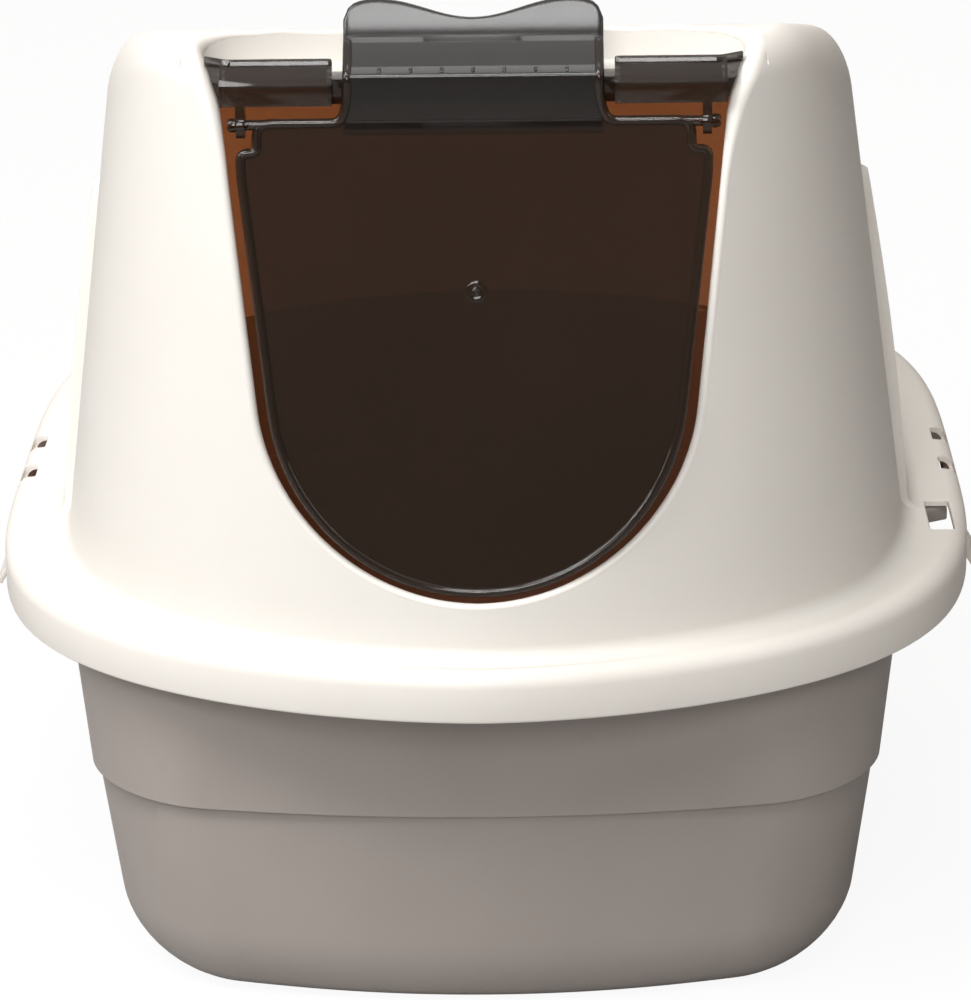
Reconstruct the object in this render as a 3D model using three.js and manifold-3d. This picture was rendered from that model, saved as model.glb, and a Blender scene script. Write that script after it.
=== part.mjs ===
// Covered cat litter box: a deep tray, a drop-on hood, a smoky swing door that hangs from a hinge
// bar in the hood's entrance, two side latches, and a carbon filter under a vent cover in the roof.
// Millimetres, +Z up. The entrance faces -Y and the origin is under the middle of the base.

import * as THREE from 'three';
import { mergeVertices } from 'three/addons/utils/BufferGeometryUtils.js';
import Module from 'manifold-3d';

const wasm = await Module();
wasm.setup();

// Values that several pieces share
const wall = 2.5; // moulded wall of the tray and the hood
const seatGap = 0.3; // between pieces that rest on each other
const overrun = 20; // how far a cutting tool runs past what it cuts
const ringSteps = 56; // points round each closed outline, a multiple of four
const roundSteps = 4; // facets in a quarter round
const roundSides = 18; // facets round a pin or a hole
const settleSteps = 4; // rounds in which a point's height and place settle together
const weld = 0.0001; // points closer than this are one point

// Driving dimensions: the hood's flange on the rim of the tray, and the roof's front crest
const flangeHalfWidth = 202.5;
const flangeHalfLength = 270;
const roofCrest = 391;

// Tray: outside sizes half way along each side, at the step in its wall
const trayInset = { side: 44.8, end: 43 }; // from the flange's edge to the tray's wall
const trayHalfWidth = flangeHalfWidth - trayInset.side;
const trayHalfLength = flangeHalfLength - trayInset.end;
const trayEndBow = 22.7; // how far the ends swell past their corners
const trayCornerRadius = 45.7;
const trayCornerGrowth = 0.27; // extra corner radius for each millimetre above the step
const trayCornerLeast = 6;
const traySideDraft = 0.136; // outward slope of the long sides
const trayEndDraft = 0.03; // outward slope of the ends
const trayStepHeight = 84;
const trayStepOut = 2.6;
const trayStepRise = 1;
const trayFloor = 3;
const trayBottomRound = { side: 29, end: 14 }; // how far the bottom edge rounds inwards
const trayRimTop = 158.2;
const rimWidth = 28;
const rimDrop = 7;
const rimClearance = 5.2; // between the rim and the hood's skirt
const baseRecessInset = 14;
const baseRecessDepth = 1;
const gripHalfWidth = 25; // shelf at the middle of each long side
const gripDrop = 16;

// Hood: flange and skirt that drop over the tray's rim
const flangePower = { x: 1.72, y: 3.8 };
const skirtHeight = 20.7;
const flangeRound = 7;

// Hood: walls and roof
const flangeShelf = { side: 27.5, end: 12 }; // from the flange's edge to the foot of the walls
const hoodHalfWidth = flangeHalfWidth - flangeShelf.side;
const hoodHalfLength = flangeHalfLength - flangeShelf.end;
const hoodFootPower = { x: 1.72, y: 4.1 };
const hoodCrownPower = { x: 2.3, y: 4.1 };
const hoodSideDraft = 0.13;
const hoodFrontDraft = 0.025;
const hoodRearDraft = 0.14;
const hoodFootFillet = 6.5;
const roofCrestPlace = 78 - hoodHalfLength;
const roofSlope = 0.235;
const roofRadius = 2500; // of the roof's curve from front to back
const roofRound = 14;
const crownRing_shares = [0.75, 0.45, 0.18];
const wallRing_shares = [0.35, 0.7, 1];
const flankPanel = {
  front: 175 - hoodHalfLength, rear: hoodHalfLength - 73, proud: 2.6, belowRoof: 57, corner: 14,
};

// Entrance: a U-shaped cut, round at the bottom and slightly wider at the top
const entranceSill = 184;
const entranceBowlHalfWidth = 84;
const entranceBowlHeight = 78;
const entranceTaper = 0.1;
const entranceHornFlare = 9; // extra half width at the roof
const entranceFlareHeight = 26;
const bowlSteps = 14;

// Half width of the entrance at a height above its bowl.
function hornHalfWidth(z) {
  const turn = Math.atan((entranceTaper * entranceBowlHeight) / entranceBowlHalfWidth);
  const kneeX = entranceBowlHalfWidth * Math.cos(turn);
  const kneeZ = entranceSill + entranceBowlHeight * (1 - Math.sin(turn));
  const climb = Math.max(0, (z - roofCrest) / entranceFlareHeight + 1);
  return kneeX + entranceTaper * (z - kneeZ) + entranceHornFlare * climb ** 2;
}

// Niche in the front of the roof, behind the finger grip
const nicheFloor = roofCrest - 15;
const nicheLedgeFront = 53 - hoodHalfLength; // front edge of its floor
const nicheFront = 46 - hoodHalfLength; // front of the hollow, behind the hood's front wall
const nicheBack = 84 - hoodHalfLength;
const nicheHalfWidth = hornHalfWidth(roofCrest);
const nicheCorner = 26;

// Slots through the flange
const flangeWindow = { middle: flangeHalfWidth - 4.7, width: 6.5, length: 17, spacing: 40 };
const scoopSlot = { middle: flangeHalfWidth - 13.5, width: 10, length: 36, place: -91 };
const rimNotchMargin = 2; // gap round the scoop slot in the tray's rim below it
const latchMiddle = -2;

// Side latches, hung between lugs inside a notch in the skirt
const latchHalfLength = 22;
const latchThickness = 2.4;
const latchDrop = 43; // from its pin to its lower edge
const latchOpenAngle = 12; // how far it stands open at rest, in degrees
const latchPin = { x: flangeHalfWidth - 2.3, z: 151, radius: 1.6, clearance: 0.35 };
const latchLip = { reach: 3, height: 9 };
const latchNose = { below: 1.4, reach: 7, height: 3.2, halfLength: 14 };
const latchBarrel = 2.6;
const lugThickness = 2.6;
const lugRadius = 3.6;
const lugGap = 0.5;
const notchRise = 13.5;

// Hinge bar across the top of the entrance
const hingePlace = { y: 36 - hoodHalfLength, z: roofCrest - 27.2 };
const barWall = 2;
const wingInner = 53;
const wingSill = 7.4;
const wingGap = 0.75; // between a wing's end and the entrance's edge
const wingOuter = hornHalfWidth(hingePlace.z + wingSill) - wingGap;
const ledgeHole = { place: wingOuter + 4, radius: 2.2, back: 9 };
const barTailEnd = 24; // rear edge of the strip on the ledge, measured from the hinge
const wingLip = { rear: 10.5, top: 22.6 };
const wingBrow = { y: -0.6, z: 16 };
const earMiddle = wingOuter - 7.6;
const earThickness = 3.4;
const earRadius = 5;
const earNeck = 4; // half width of the arm above an ear
const pinRadius = 2;
const pinClearance = 0.4;
const barBridge = { front: 11.2, bottom: 5 };
const barPeg = { place: 72, radius: 2.4, clearance: 0.25 };

// Door, in its own frame: x along the hinge, z up its face, y behind its face
const doorLean = 10.2; // degrees from upright
const doorThickness = 1.8;
const doorGapSide = 4; // clear gap to the entrance's edge
const doorGapSill = 2;
const doorBead = 1.9;
const beadSides = 8;
const doorTaper = 0.115;
const doorShoulder = 0.4;
const doorShoulderHalfWidth = earMiddle - 5.8;
const doorHip = -10.6;
const doorCorner = 3;
const doorNick = 1;
const pinReach = earMiddle + 5.2;
const pinHead = 2.7;
const pinSlot = 1.1;

// Flap of the door that reaches over the hinge bar, with the finger grip on top
const flapHalfWidth = 49;
const flapThickness = 2.2;
const flapFace = { y: 0.4, z: 18 };
const flapBand = { y: 13, z: 27.4 };
const gripFoot = { y: 15.6, z: 28.6 };
const gripCove = { y: 18.4, z: 34 };
const gripTip = { y: 24.5, z: 42.6 };
const gripDip = 6.4; // depth of the finger wave between its two humps
const gripEndDrop = 3.4;
const gripHump_share = 0.75; // where the humps stand, over the flap's half width
const flapRib = { pitch: 12.5, count: 7, width: 1.2, depth: 1.2, length: 8 };
const flapEdgeWidth = 3;
const flapEdgeThickness = 4;

// Filter pocket, pad and cover in the back of the roof
const pocketPlace = 55;
const pocketWidth = 124;
const pocketLength = 96;
const pocketDepth = 10;
const padThickness = 4.4;
const padMargin = 4;
const coverThickness = 2.2;
const coverGap = 0.8;
const coverSink = 0.4; // top of the cover under the roof
const coverBarrel = 2.3;
const coverPin = { radius: 1.4, reach: 2.2, clearance: 0.35 };
const vent = { width: 4.5, length: 62, pitch: 10, count: 9 };
const thumbNotch = 9;

const cream = new THREE.MeshStandardMaterial({ color: 0xf0ebe2, roughness: 0.45, metalness: 0 });
const taupe = new THREE.MeshStandardMaterial({ color: 0xaca29c, roughness: 0.5, metalness: 0 });
const smoke = new THREE.MeshStandardMaterial({
  color: 0x2a2019, roughness: 0.12, metalness: 0, transparent: true, opacity: 0.85,
});
const charcoal = new THREE.MeshStandardMaterial({ color: 0x2b2b2b, roughness: 0.95, metalness: 0 });

// Solids from geometry, and geometry from solids

function solid(geometry) {
  const bare = geometry.index ? geometry.toNonIndexed() : geometry.clone();
  bare.deleteAttribute('normal');
  bare.deleteAttribute('uv');
  const merged = mergeVertices(bare, weld);
  return new wasm.Manifold(new wasm.Mesh({
    numProp: 3,
    vertProperties: merged.attributes.position.array,
    triVerts: new Uint32Array(merged.index.array),
  }));
}

function mesh(name, body, material) {
  const data = body.getMesh();
  const geometry = new THREE.BufferGeometry();
  geometry.setAttribute('position', new THREE.BufferAttribute(data.vertProperties, 3));
  geometry.setIndex(new THREE.BufferAttribute(data.triVerts, 1));
  geometry.computeVertexNormals();
  const piece = new THREE.Mesh(geometry, material);
  piece.name = name;
  return piece;
}

// A closed surface through rings of points, with a fan over the first and the last ring.
function loft(rings) {
  const count = rings[0].length;
  const positions = [];
  const index = [];
  rings.forEach((ring) => ring.forEach((p) => positions.push(p.x, p.y, p.z)));
  for (let r = 0; r + 1 < rings.length; r++) {
    for (let i = 0; i < count; i++) {
      const a = r * count + i;
      const b = r * count + ((i + 1) % count);
      index.push(a, b, b + count, a, b + count, a + count);
    }
  }
  [rings[0], rings[rings.length - 1]].forEach((ring, end) => {
    const middle = new THREE.Vector3();
    ring.forEach((p) => middle.addScaledVector(p, 1 / count));
    const centre = positions.length / 3;
    const start = end * (rings.length - 1) * count;
    positions.push(middle.x, middle.y, middle.z);
    for (let i = 0; i < count; i++) {
      const a = start + i;
      const b = start + ((i + 1) % count);
      if (end) index.push(centre, a, b);
      else index.push(centre, b, a);
    }
  });
  const geometry = new THREE.BufferGeometry();
  geometry.setAttribute('position', new THREE.Float32BufferAttribute(positions, 3));
  geometry.setIndex(index);
  return solid(geometry);
}

function box(low, high) {
  const size = new THREE.Vector3().subVectors(high, low);
  const geometry = new THREE.BoxGeometry(size.x, size.y, size.z);
  geometry.translate((low.x + high.x) / 2, (low.y + high.y) / 2, (low.z + high.z) / 2);
  return solid(geometry);
}

const v3 = (x, y, z) => new THREE.Vector3(x, y, z);
const v2 = (x, y) => new THREE.Vector2(x, y);

// A bar along X with its axis at y, z.
function rod(radius, fromX, toX, y, z) {
  const geometry = new THREE.CylinderGeometry(radius, radius, toX - fromX, roundSides);
  geometry.rotateZ(Math.PI / 2);
  geometry.translate((fromX + toX) / 2, y, z);
  return solid(geometry);
}

// A bar along Y with its axis at x, z.
function crossRod(radius, fromY, toY, x, z) {
  const geometry = new THREE.CylinderGeometry(radius, radius, toY - fromY, roundSides);
  geometry.translate(x, (fromY + toY) / 2, z);
  return solid(geometry);
}

// An upright bar with its axis at x, y.
function post(radius, x, y, fromZ, toZ) {
  const geometry = new THREE.CylinderGeometry(radius, radius, toZ - fromZ, roundSides);
  geometry.rotateX(Math.PI / 2);
  geometry.translate(x, y, (fromZ + toZ) / 2);
  return solid(geometry);
}

// A flat outline drawn in x and z, pushed along Y.
function plateAlongY(outline, fromY, toY) {
  const geometry = new THREE.ExtrudeGeometry(new THREE.Shape(outline), {
    depth: toY - fromY, bevelEnabled: false,
  });
  geometry.rotateX(Math.PI / 2);
  geometry.translate(0, toY, 0);
  return solid(geometry);
}

// A flat outline drawn in y and z, pushed along X.
function plateAlongX(outline, fromX, toX) {
  const geometry = new THREE.ExtrudeGeometry(new THREE.Shape(outline), {
    depth: toX - fromX, bevelEnabled: false,
  });
  geometry.rotateX(Math.PI / 2);
  geometry.rotateZ(Math.PI / 2);
  geometry.translate(fromX, 0, 0);
  return solid(geometry);
}

// A flat outline drawn in x and y, pushed up.
function plateUp(outline, fromZ, toZ) {
  const geometry = new THREE.ExtrudeGeometry(new THREE.Shape(outline), {
    depth: toZ - fromZ, bevelEnabled: false,
  });
  geometry.translate(0, 0, fromZ);
  return solid(geometry);
}

// The same stretch on either side of the middle, from its low end to its high end.
function stretch(side, near, far) {
  return side > 0 ? [near, far] : [-far, -near];
}

function join(bodies) {
  return bodies.reduce((all, body) => all.add(body));
}

function cut(body, tools) {
  return tools.reduce((left, tool) => left.subtract(tool), body);
}

// Ring of points from one quarter of an outline, which runs from the side to the end, mirrored
// into the other quarters. The points stand closer together where the outline turns.
const denseSteps = 240;
const turnLength = 150; // spacing credit for each radian of turn

function mirroredRing(quarter) {
  const dense = Array.from({ length: denseSteps + 1 }, (_, i) => quarter(i / denseSteps));
  const along = [0];
  for (let i = 1; i < dense.length; i++) {
    const before = dense[i - 1].clone().sub(dense[Math.max(0, i - 2)]);
    const here = dense[i].clone().sub(dense[i - 1]);
    const turn = i > 1 ? Math.abs(before.angle() - here.angle()) : 0;
    along.push(along[i - 1] + here.length() + turnLength * turn);
  }
  const each = ringSteps / 4;
  const even = [];
  let k = 0;
  for (let i = 0; i <= each; i++) {
    const target = (along[denseSteps] * i) / each;
    while (k + 1 < denseSteps && along[k + 1] < target) k++;
    const mix = (target - along[k]) / (along[k + 1] - along[k]);
    even.push(dense[k].clone().lerp(dense[k + 1], Math.min(1, mix)));
  }
  const back = even.slice(1, each).reverse();
  const front = even.slice(1, each);
  return [
    ...even,
    ...back.map((p) => v2(-p.x, p.y)),
    v2(-even[0].x, even[0].y),
    ...front.map((p) => v2(-p.x, -p.y)),
    v2(even[each].x, -even[each].y),
    ...back.map((p) => v2(p.x, -p.y)),
  ];
}

function superRing(halfWidth, halfLength, power) {
  return mirroredRing((t) => {
    const angle = (t * Math.PI) / 2;
    const x = halfWidth * Math.max(0, Math.cos(angle)) ** (2 / power.x);
    const y = halfLength * Math.sin(angle) ** (2 / power.y);
    return v2(x, y);
  });
}

// A rectangle with round corners and ends that swell outwards.
function bowedRing(halfWidth, halfLength, corner, bow) {
  const squareEnd = halfLength - bow;
  const side = squareEnd - corner;
  const arc = (corner * Math.PI) / 2;
  const total = side + arc + halfWidth - corner;
  return mirroredRing((t) => {
    const s = t * total;
    let p;
    if (s < side) p = v2(halfWidth, s);
    else if (s < side + arc) {
      const angle = (s - side) / corner;
      p = v2(halfWidth - corner + corner * Math.cos(angle), side + corner * Math.sin(angle));
    } else p = v2(total - s, squareEnd);
    p.y += ((bow * p.y) / squareEnd) * (1 - (p.x / halfWidth) ** 2);
    return p;
  });
}

const level = (ring, z) => ring.map((p) => v3(p.x, p.y, z));

// Tray

function trayRing(z, growSide, growEnd) {
  const rise = z - trayStepHeight;
  const corner = trayCornerRadius + trayCornerGrowth * Math.max(0, rise) + growSide;
  return bowedRing(
    trayHalfWidth + traySideDraft * rise + growSide,
    trayHalfLength + trayEndDraft * rise + growEnd,
    Math.max(corner, trayCornerLeast),
    trayEndBow,
  );
}

function trayBody(grow, floor, top) {
  const rings = [];
  const side = trayBottomRound.side + grow;
  const end = trayBottomRound.end + grow;
  for (let i = 0; i <= roundSteps; i++) {
    const angle = (i / roundSteps) * (Math.PI / 2);
    const inwards = 1 - Math.sin(angle);
    const z = floor + side * (1 - Math.cos(angle));
    rings.push(level(trayRing(z, grow - side * inwards, grow - end * inwards), z));
  }
  const step = trayStepHeight - grow;
  const out = grow + trayStepOut;
  rings.push(level(trayRing(step, grow, grow), step));
  rings.push(level(trayRing(step, out, out), step + trayStepRise));
  rings.push(level(trayRing(top, out, out), top));
  return loft(rings);
}

function rimPrism(inset, fromZ, toZ) {
  const reach = trayStepOut + rimWidth - inset;
  const rim = trayRing(trayRimTop, reach, reach);
  const limit = superRing(
    flangeHalfWidth - wall - rimClearance - inset,
    flangeHalfLength - wall - rimClearance - inset,
    flangePower,
  );
  return loft([fromZ, toZ].map((z) => level(rim, z)))
    .intersect(loft([fromZ - overrun, toZ + overrun].map((z) => level(limit, z))));
}

// The rim's downturned edge, as far down as its bottom.
function rimLip(bottom) {
  const plateBottom = trayRimTop - wall;
  return rimPrism(0, bottom, plateBottom + wall / 2)
    .subtract(rimPrism(wall, bottom - overrun, plateBottom));
}

function makeTray() {
  const gripBottom = trayRimTop - gripDrop;
  const gripBand = (inset) => box(
    v3(-flangeHalfWidth, latchMiddle - gripHalfWidth + inset, gripBottom - overrun),
    v3(flangeHalfWidth, latchMiddle + gripHalfWidth - inset, trayRimTop - wall),
  );
  const grips = rimPrism(0, gripBottom, trayRimTop - wall / 2)
    .intersect(gripBand(0))
    .subtract(rimPrism(wall, gripBottom - overrun, trayRimTop - wall).intersect(gripBand(wall)));
  const rim = rimPrism(0, trayRimTop - wall, trayRimTop);
  const outside = join([
    trayBody(0, 0, trayRimTop), rim, rimLip(trayRimTop - rimDrop), grips,
  ]);
  const inside = trayBody(-wall, trayFloor, trayRimTop + overrun);
  const recessRing = trayRing(
    0, -trayBottomRound.side - baseRecessInset, -trayBottomRound.end - baseRecessInset,
  );
  const recess = loft([-overrun, baseRecessDepth].map((z) => level(recessRing, z)));
  const notchHalf = scoopSlot.length / 2 + rimNotchMargin;
  const notchInner = scoopSlot.middle - scoopSlot.width / 2 - rimNotchMargin;
  const notch = box(
    v3(notchInner, scoopSlot.place - notchHalf, trayRimTop - rimDrop - overrun),
    v3(flangeHalfWidth, scoopSlot.place + notchHalf, trayRimTop + overrun),
  );
  return cut(outside, [inside, recess, notch]);
}

// Hood

const plateTop = trayRimTop + seatGap + wall;
const skirtBottom = plateTop - skirtHeight;

function roofHeight(y) {
  const back = Math.max(0, y - roofCrestPlace);
  return roofCrest - roofSlope * back - (back * back) / (2 * roofRadius);
}

function flangeBody(grow, bottom) {
  const rings = [];
  const round = flangeRound + grow;
  const outline = (inset) => superRing(
    flangeHalfWidth + grow - inset, flangeHalfLength + grow - inset, flangePower,
  );
  rings.push(level(outline(0), bottom));
  for (let i = 0; i <= roundSteps; i++) {
    const angle = (i / roundSteps) * (Math.PI / 2);
    const z = plateTop + grow - round * (1 - Math.sin(angle));
    rings.push(level(outline(round * (1 - Math.cos(angle))), z));
  }
  return loft(rings);
}

// Walls and roof: the outline narrows with height and turns squarer towards the crown, and every
// ring climbs to its own height under the sloping roof.
function hoodRing(share, inset, grow, lift) {
  const power = {
    x: hoodFootPower.x + (hoodCrownPower.x - hoodFootPower.x) * share,
    y: hoodFootPower.y + (hoodCrownPower.y - hoodFootPower.y) * share,
  };
  const unit = superRing(hoodHalfWidth, hoodHalfLength, power);
  const endDraft = (p) => (p.y < 0 ? hoodFrontDraft : hoodRearDraft);
  return unit.map((p) => {
    let z = plateTop;
    let rise = 0;
    let y = p.y;
    for (let i = 0; i < settleSteps; i++) {
      const roof = roofHeight(y) + grow - roofRound;
      z = plateTop + share * (roof - plateTop) + lift;
      rise = z - plateTop;
      y = (p.y * (hoodHalfLength + grow - inset - endDraft(p) * rise)) / hoodHalfLength;
    }
    const across = (hoodHalfWidth + grow - inset - hoodSideDraft * rise) / hoodHalfWidth;
    return v3(p.x * across, y, z);
  });
}

function hoodBody(grow, bottom) {
  const rings = [];
  rings.push(hoodRing(0, 0, grow, bottom - plateTop));
  wallRing_shares.forEach((share) => rings.push(hoodRing(share, 0, grow, 0)));
  for (let i = 1; i <= roundSteps; i++) {
    const angle = (i / roundSteps) * (Math.PI / 2);
    rings.push(hoodRing(1, roofRound * (1 - Math.cos(angle)), grow, roofRound * Math.sin(angle)));
  }
  const edge = rings[rings.length - 1];
  const middle = v3(0, 0, 0);
  edge.forEach((p) => middle.addScaledVector(p, 1 / edge.length));
  crownRing_shares.forEach((share) => {
    rings.push(edge.map((p) => {
      const y = middle.y + (p.y - middle.y) * share;
      const drop = (p.z - grow - roofHeight(p.y)) * share;
      return v3(p.x * share, y, roofHeight(y) + grow + drop);
    }));
  });
  return loft(rings);
}

function footFillet() {
  const rings = [];
  for (let i = 0; i <= roundSteps; i++) {
    const angle = (i / roundSteps) * (Math.PI / 2);
    const out = hoodFootFillet * (1 - Math.sin(angle));
    rings.push(hoodRing(0, -out, 0, hoodFootFillet * (1 - Math.cos(angle))));
  }
  rings.unshift(hoodRing(0, -hoodFootFillet, 0, -wall / 2));
  return loft(rings);
}

// Side view of the raised panel on each flank, with round corners.
function flankPrism(inset) {
  const front = flankPanel.front + inset;
  const rear = flankPanel.rear - inset;
  const corner = flankPanel.corner - inset;
  const top = (y) => roofHeight(y) - flankPanel.belowRoof - inset;
  const shape = new THREE.Shape();
  shape.moveTo(front, skirtBottom - overrun);
  shape.lineTo(rear, skirtBottom - overrun);
  shape.lineTo(rear, top(rear) - corner);
  shape.quadraticCurveTo(rear, top(rear), rear - corner, top(rear - corner));
  for (let i = 1; i <= roundSteps; i++) {
    const y = rear - corner + ((front - rear + 2 * corner) * i) / roundSteps;
    shape.lineTo(y, top(y));
  }
  shape.quadraticCurveTo(front, top(front), front, top(front) - corner);
  shape.closePath();
  const reach = hoodHalfWidth + overrun;
  return plateAlongX(shape.getPoints(roundSteps), -reach, reach);
}

// Half outline of the entrance from the sill's middle to the top, as half widths and heights.
function entranceHalf(gapSide, gapSill, taper, top, flare) {
  const halfWidth = entranceBowlHalfWidth - gapSide;
  const height = entranceBowlHeight;
  const sill = entranceSill + gapSill;
  const last = Math.PI / 2 - Math.atan((taper * height) / halfWidth);
  const points = [];
  for (let i = 0; i <= bowlSteps; i++) {
    const angle = (last * i) / bowlSteps;
    points.push(v2(halfWidth * Math.sin(angle), sill + height * (1 - Math.cos(angle))));
  }
  const knee = points[bowlSteps];
  const flareStart = top - entranceFlareHeight;
  if (!flare) {
    points.push(v2(knee.x + taper * (top - knee.y), top));
    return points;
  }
  for (let i = 0; i <= roundSteps; i++) {
    const climb = i / roundSteps;
    const z = flareStart + entranceFlareHeight * climb;
    points.push(v2(knee.x + taper * (z - knee.y) + entranceHornFlare * climb * climb, z));
  }
  return points;
}

function bothSides(half) {
  const left = half.filter((p) => p.x > 0).map((p) => v2(-p.x, p.y)).reverse();
  return [...left, ...half];
}

function entranceTool() {
  const half = entranceHalf(0, 0, entranceTaper, roofCrest, true);
  const last = half[half.length - 1];
  half.push(v2(last.x, roofCrest + overrun));
  return plateAlongY(bothSides(half), -flangeHalfLength - overrun, nicheLedgeFront);
}

// Plan of the niche: straight sides and a back wall with large round corners.
function nichePlan(grow, front) {
  const shape = new THREE.Shape();
  const half = nicheHalfWidth + grow;
  const back = nicheBack + grow;
  const corner = nicheCorner + grow;
  shape.moveTo(-half, front);
  shape.lineTo(half, front);
  shape.lineTo(half, back - corner);
  shape.absarc(half - corner, back - corner, corner, 0, Math.PI / 2, false);
  shape.lineTo(-half + corner, back);
  shape.absarc(-half + corner, back - corner, corner, Math.PI / 2, Math.PI, false);
  shape.closePath();
  return shape.getPoints(roundSteps + 1);
}

// Frame of the filter pocket: z square to the sloping roof, y down the slope.
const pocketFall = roofSlope + (pocketPlace - roofCrestPlace) / roofRadius;
const pocketPose = new THREE.Matrix4()
  .makeTranslation(0, pocketPlace, roofHeight(pocketPlace))
  .multiply(new THREE.Matrix4().makeRotationX(-Math.atan(pocketFall)));

function posed(body, pose) {
  return body.transform(pose.elements);
}

function ventSlots(fromZ, toZ) {
  const tools = [];
  for (let i = 0; i < vent.count; i++) {
    const x = (i - (vent.count - 1) / 2) * vent.pitch;
    tools.push(box(
      v3(x - vent.width / 2, -vent.length / 2, fromZ),
      v3(x + vent.width / 2, vent.length / 2, toZ),
    ));
  }
  return tools;
}

const coverHinge = {
  y: -pocketLength / 2 + coverBarrel + coverGap,
  z: -coverSink - coverBarrel,
};

function latchPose(side) {
  return new THREE.Matrix4()
    .makeTranslation(side * latchPin.x, latchMiddle, latchPin.z)
    .multiply(new THREE.Matrix4().makeScale(side, 1, 1))
    .multiply(new THREE.Matrix4().makeRotationY(-THREE.MathUtils.degToRad(latchOpenAngle)));
}

function pocketBox(grow, bottom) {
  return posed(box(
    v3(-pocketWidth / 2 - grow, -pocketLength / 2 - grow, bottom),
    v3(pocketWidth / 2 + grow, pocketLength / 2 + grow, overrun),
  ), pocketPose);
}

// Slots and holes through the ledge and the flange.
function hoodHoles() {
  const pegPlace = (nicheLedgeFront + hingePlace.y + barTailEnd) / 2;
  const low = plateTop - wall * 2;
  const high = plateTop + wall;
  const slot = (x, y, width, length) => box(
    v3(x - width / 2, y - length / 2, low),
    v3(x + width / 2, y + length / 2, high),
  );
  const tools = [slot(scoopSlot.middle, scoopSlot.place, scoopSlot.width, scoopSlot.length)];
  [-1, 1].forEach((side) => {
    const ledge = [nicheFloor - wall * 2, nicheFloor + wall];
    const holePlace = nicheLedgeFront + ledgeHole.back;
    tools.push(post(ledgeHole.radius, side * ledgeHole.place, holePlace, ...ledge));
    tools.push(post(barPeg.radius + barPeg.clearance, side * barPeg.place, pegPlace, ...ledge));
    [-1, 1].forEach((end) => {
      const y = latchMiddle + (end * flangeWindow.spacing) / 2;
      tools.push(slot(side * flangeWindow.middle, y, flangeWindow.width, flangeWindow.length));
    });
  });
  return tools;
}

const lugInner = latchHalfLength + lugGap;
const lugOuter = lugInner + lugThickness;

function latchLugs() {
  const lugs = [];
  [-1, 1].forEach((side) => [-1, 1].forEach((end) => {
    const x = side * latchPin.x;
    const [from, to] = stretch(end, lugInner, lugOuter).map((y) => latchMiddle + y);
    lugs.push(crossRod(lugRadius, from, to, x, latchPin.z)
      .add(box(v3(x - lugRadius, from, latchPin.z), v3(x + lugRadius, to, plateTop - wall / 2)))
      .intersect(flangeBody(0, skirtBottom)));
  }));
  return lugs;
}

// Notches in the skirt for the latches, and the holes for their pins.
function latchCuts() {
  const tools = [];
  [-1, 1].forEach((side) => {
    const [from, to] = stretch(side, latchPin.x - lugRadius, flangeHalfWidth + overrun);
    tools.push(box(
      v3(from, latchMiddle - lugInner, skirtBottom - overrun),
      v3(to, latchMiddle + lugInner, skirtBottom + notchRise),
    ));
    tools.push(crossRod(
      latchPin.radius + latchPin.clearance,
      latchMiddle - lugOuter - wall, latchMiddle + lugOuter + wall,
      side * latchPin.x, latchPin.z,
    ));
  });
  return tools;
}

function makeHood() {
  const envelope = hoodBody(0, skirtBottom + wall);
  const flankOuter = hoodBody(flankPanel.proud, skirtBottom + wall).intersect(flankPrism(0));
  const flankInner = hoodBody(flankPanel.proud - wall, skirtBottom - overrun)
    .intersect(flankPrism(wall));
  const outside = join([flangeBody(0, skirtBottom), envelope, footFillet(), flankOuter]);
  const inside = join([
    flangeBody(-wall, skirtBottom - overrun),
    hoodBody(-wall, skirtBottom - overrun),
    flankInner,
  ]);
  const roofTop = roofCrest + overrun;
  const nicheShell = plateUp(nichePlan(wall, -flangeHalfLength), nicheFloor - wall, roofTop)
    .intersect(envelope);
  const nicheVoid = plateUp(nichePlan(0, nicheFront), nicheFloor, roofTop);
  const pocketShell = pocketBox(wall, -pocketDepth - wall).intersect(envelope);
  const shell = join([outside.subtract(inside), nicheShell, pocketShell]);
  const hollow = cut(shell, [nicheVoid, pocketBox(0, -pocketDepth)]);
  const pinHoles = posed(rod(
    coverPin.radius + coverPin.clearance,
    -pocketWidth / 2 - wall * 2, pocketWidth / 2 + wall * 2, coverHinge.y, coverHinge.z,
  ), pocketPose);
  const vents = ventSlots(-pocketDepth - overrun, -pocketDepth + wall)
    .map((tool) => posed(tool, pocketPose));
  return cut(join([hollow, ...latchLugs()]), [
    entranceTool(), pinHoles, ...vents, ...hoodHoles(), ...latchCuts(),
  ]);
}

// Strip of even thickness along a side view of points, as a closed outline.
function strip(points, thickness) {
  const normalAt = (i) => {
    const a = points[Math.max(0, i - 1)];
    const b = points[Math.min(points.length - 1, i + 1)];
    const d = b.clone().sub(a).normalize();
    return v2(-d.y, d.x);
  };
  const left = points.map((p, i) => p.clone().addScaledVector(normalAt(i), thickness / 2));
  const right = points.map((p, i) => p.clone().addScaledVector(normalAt(i), -thickness / 2));
  return [...left, ...right.reverse()];
}

// Hinge bar, drawn from the hinge axis in y and z

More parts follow.
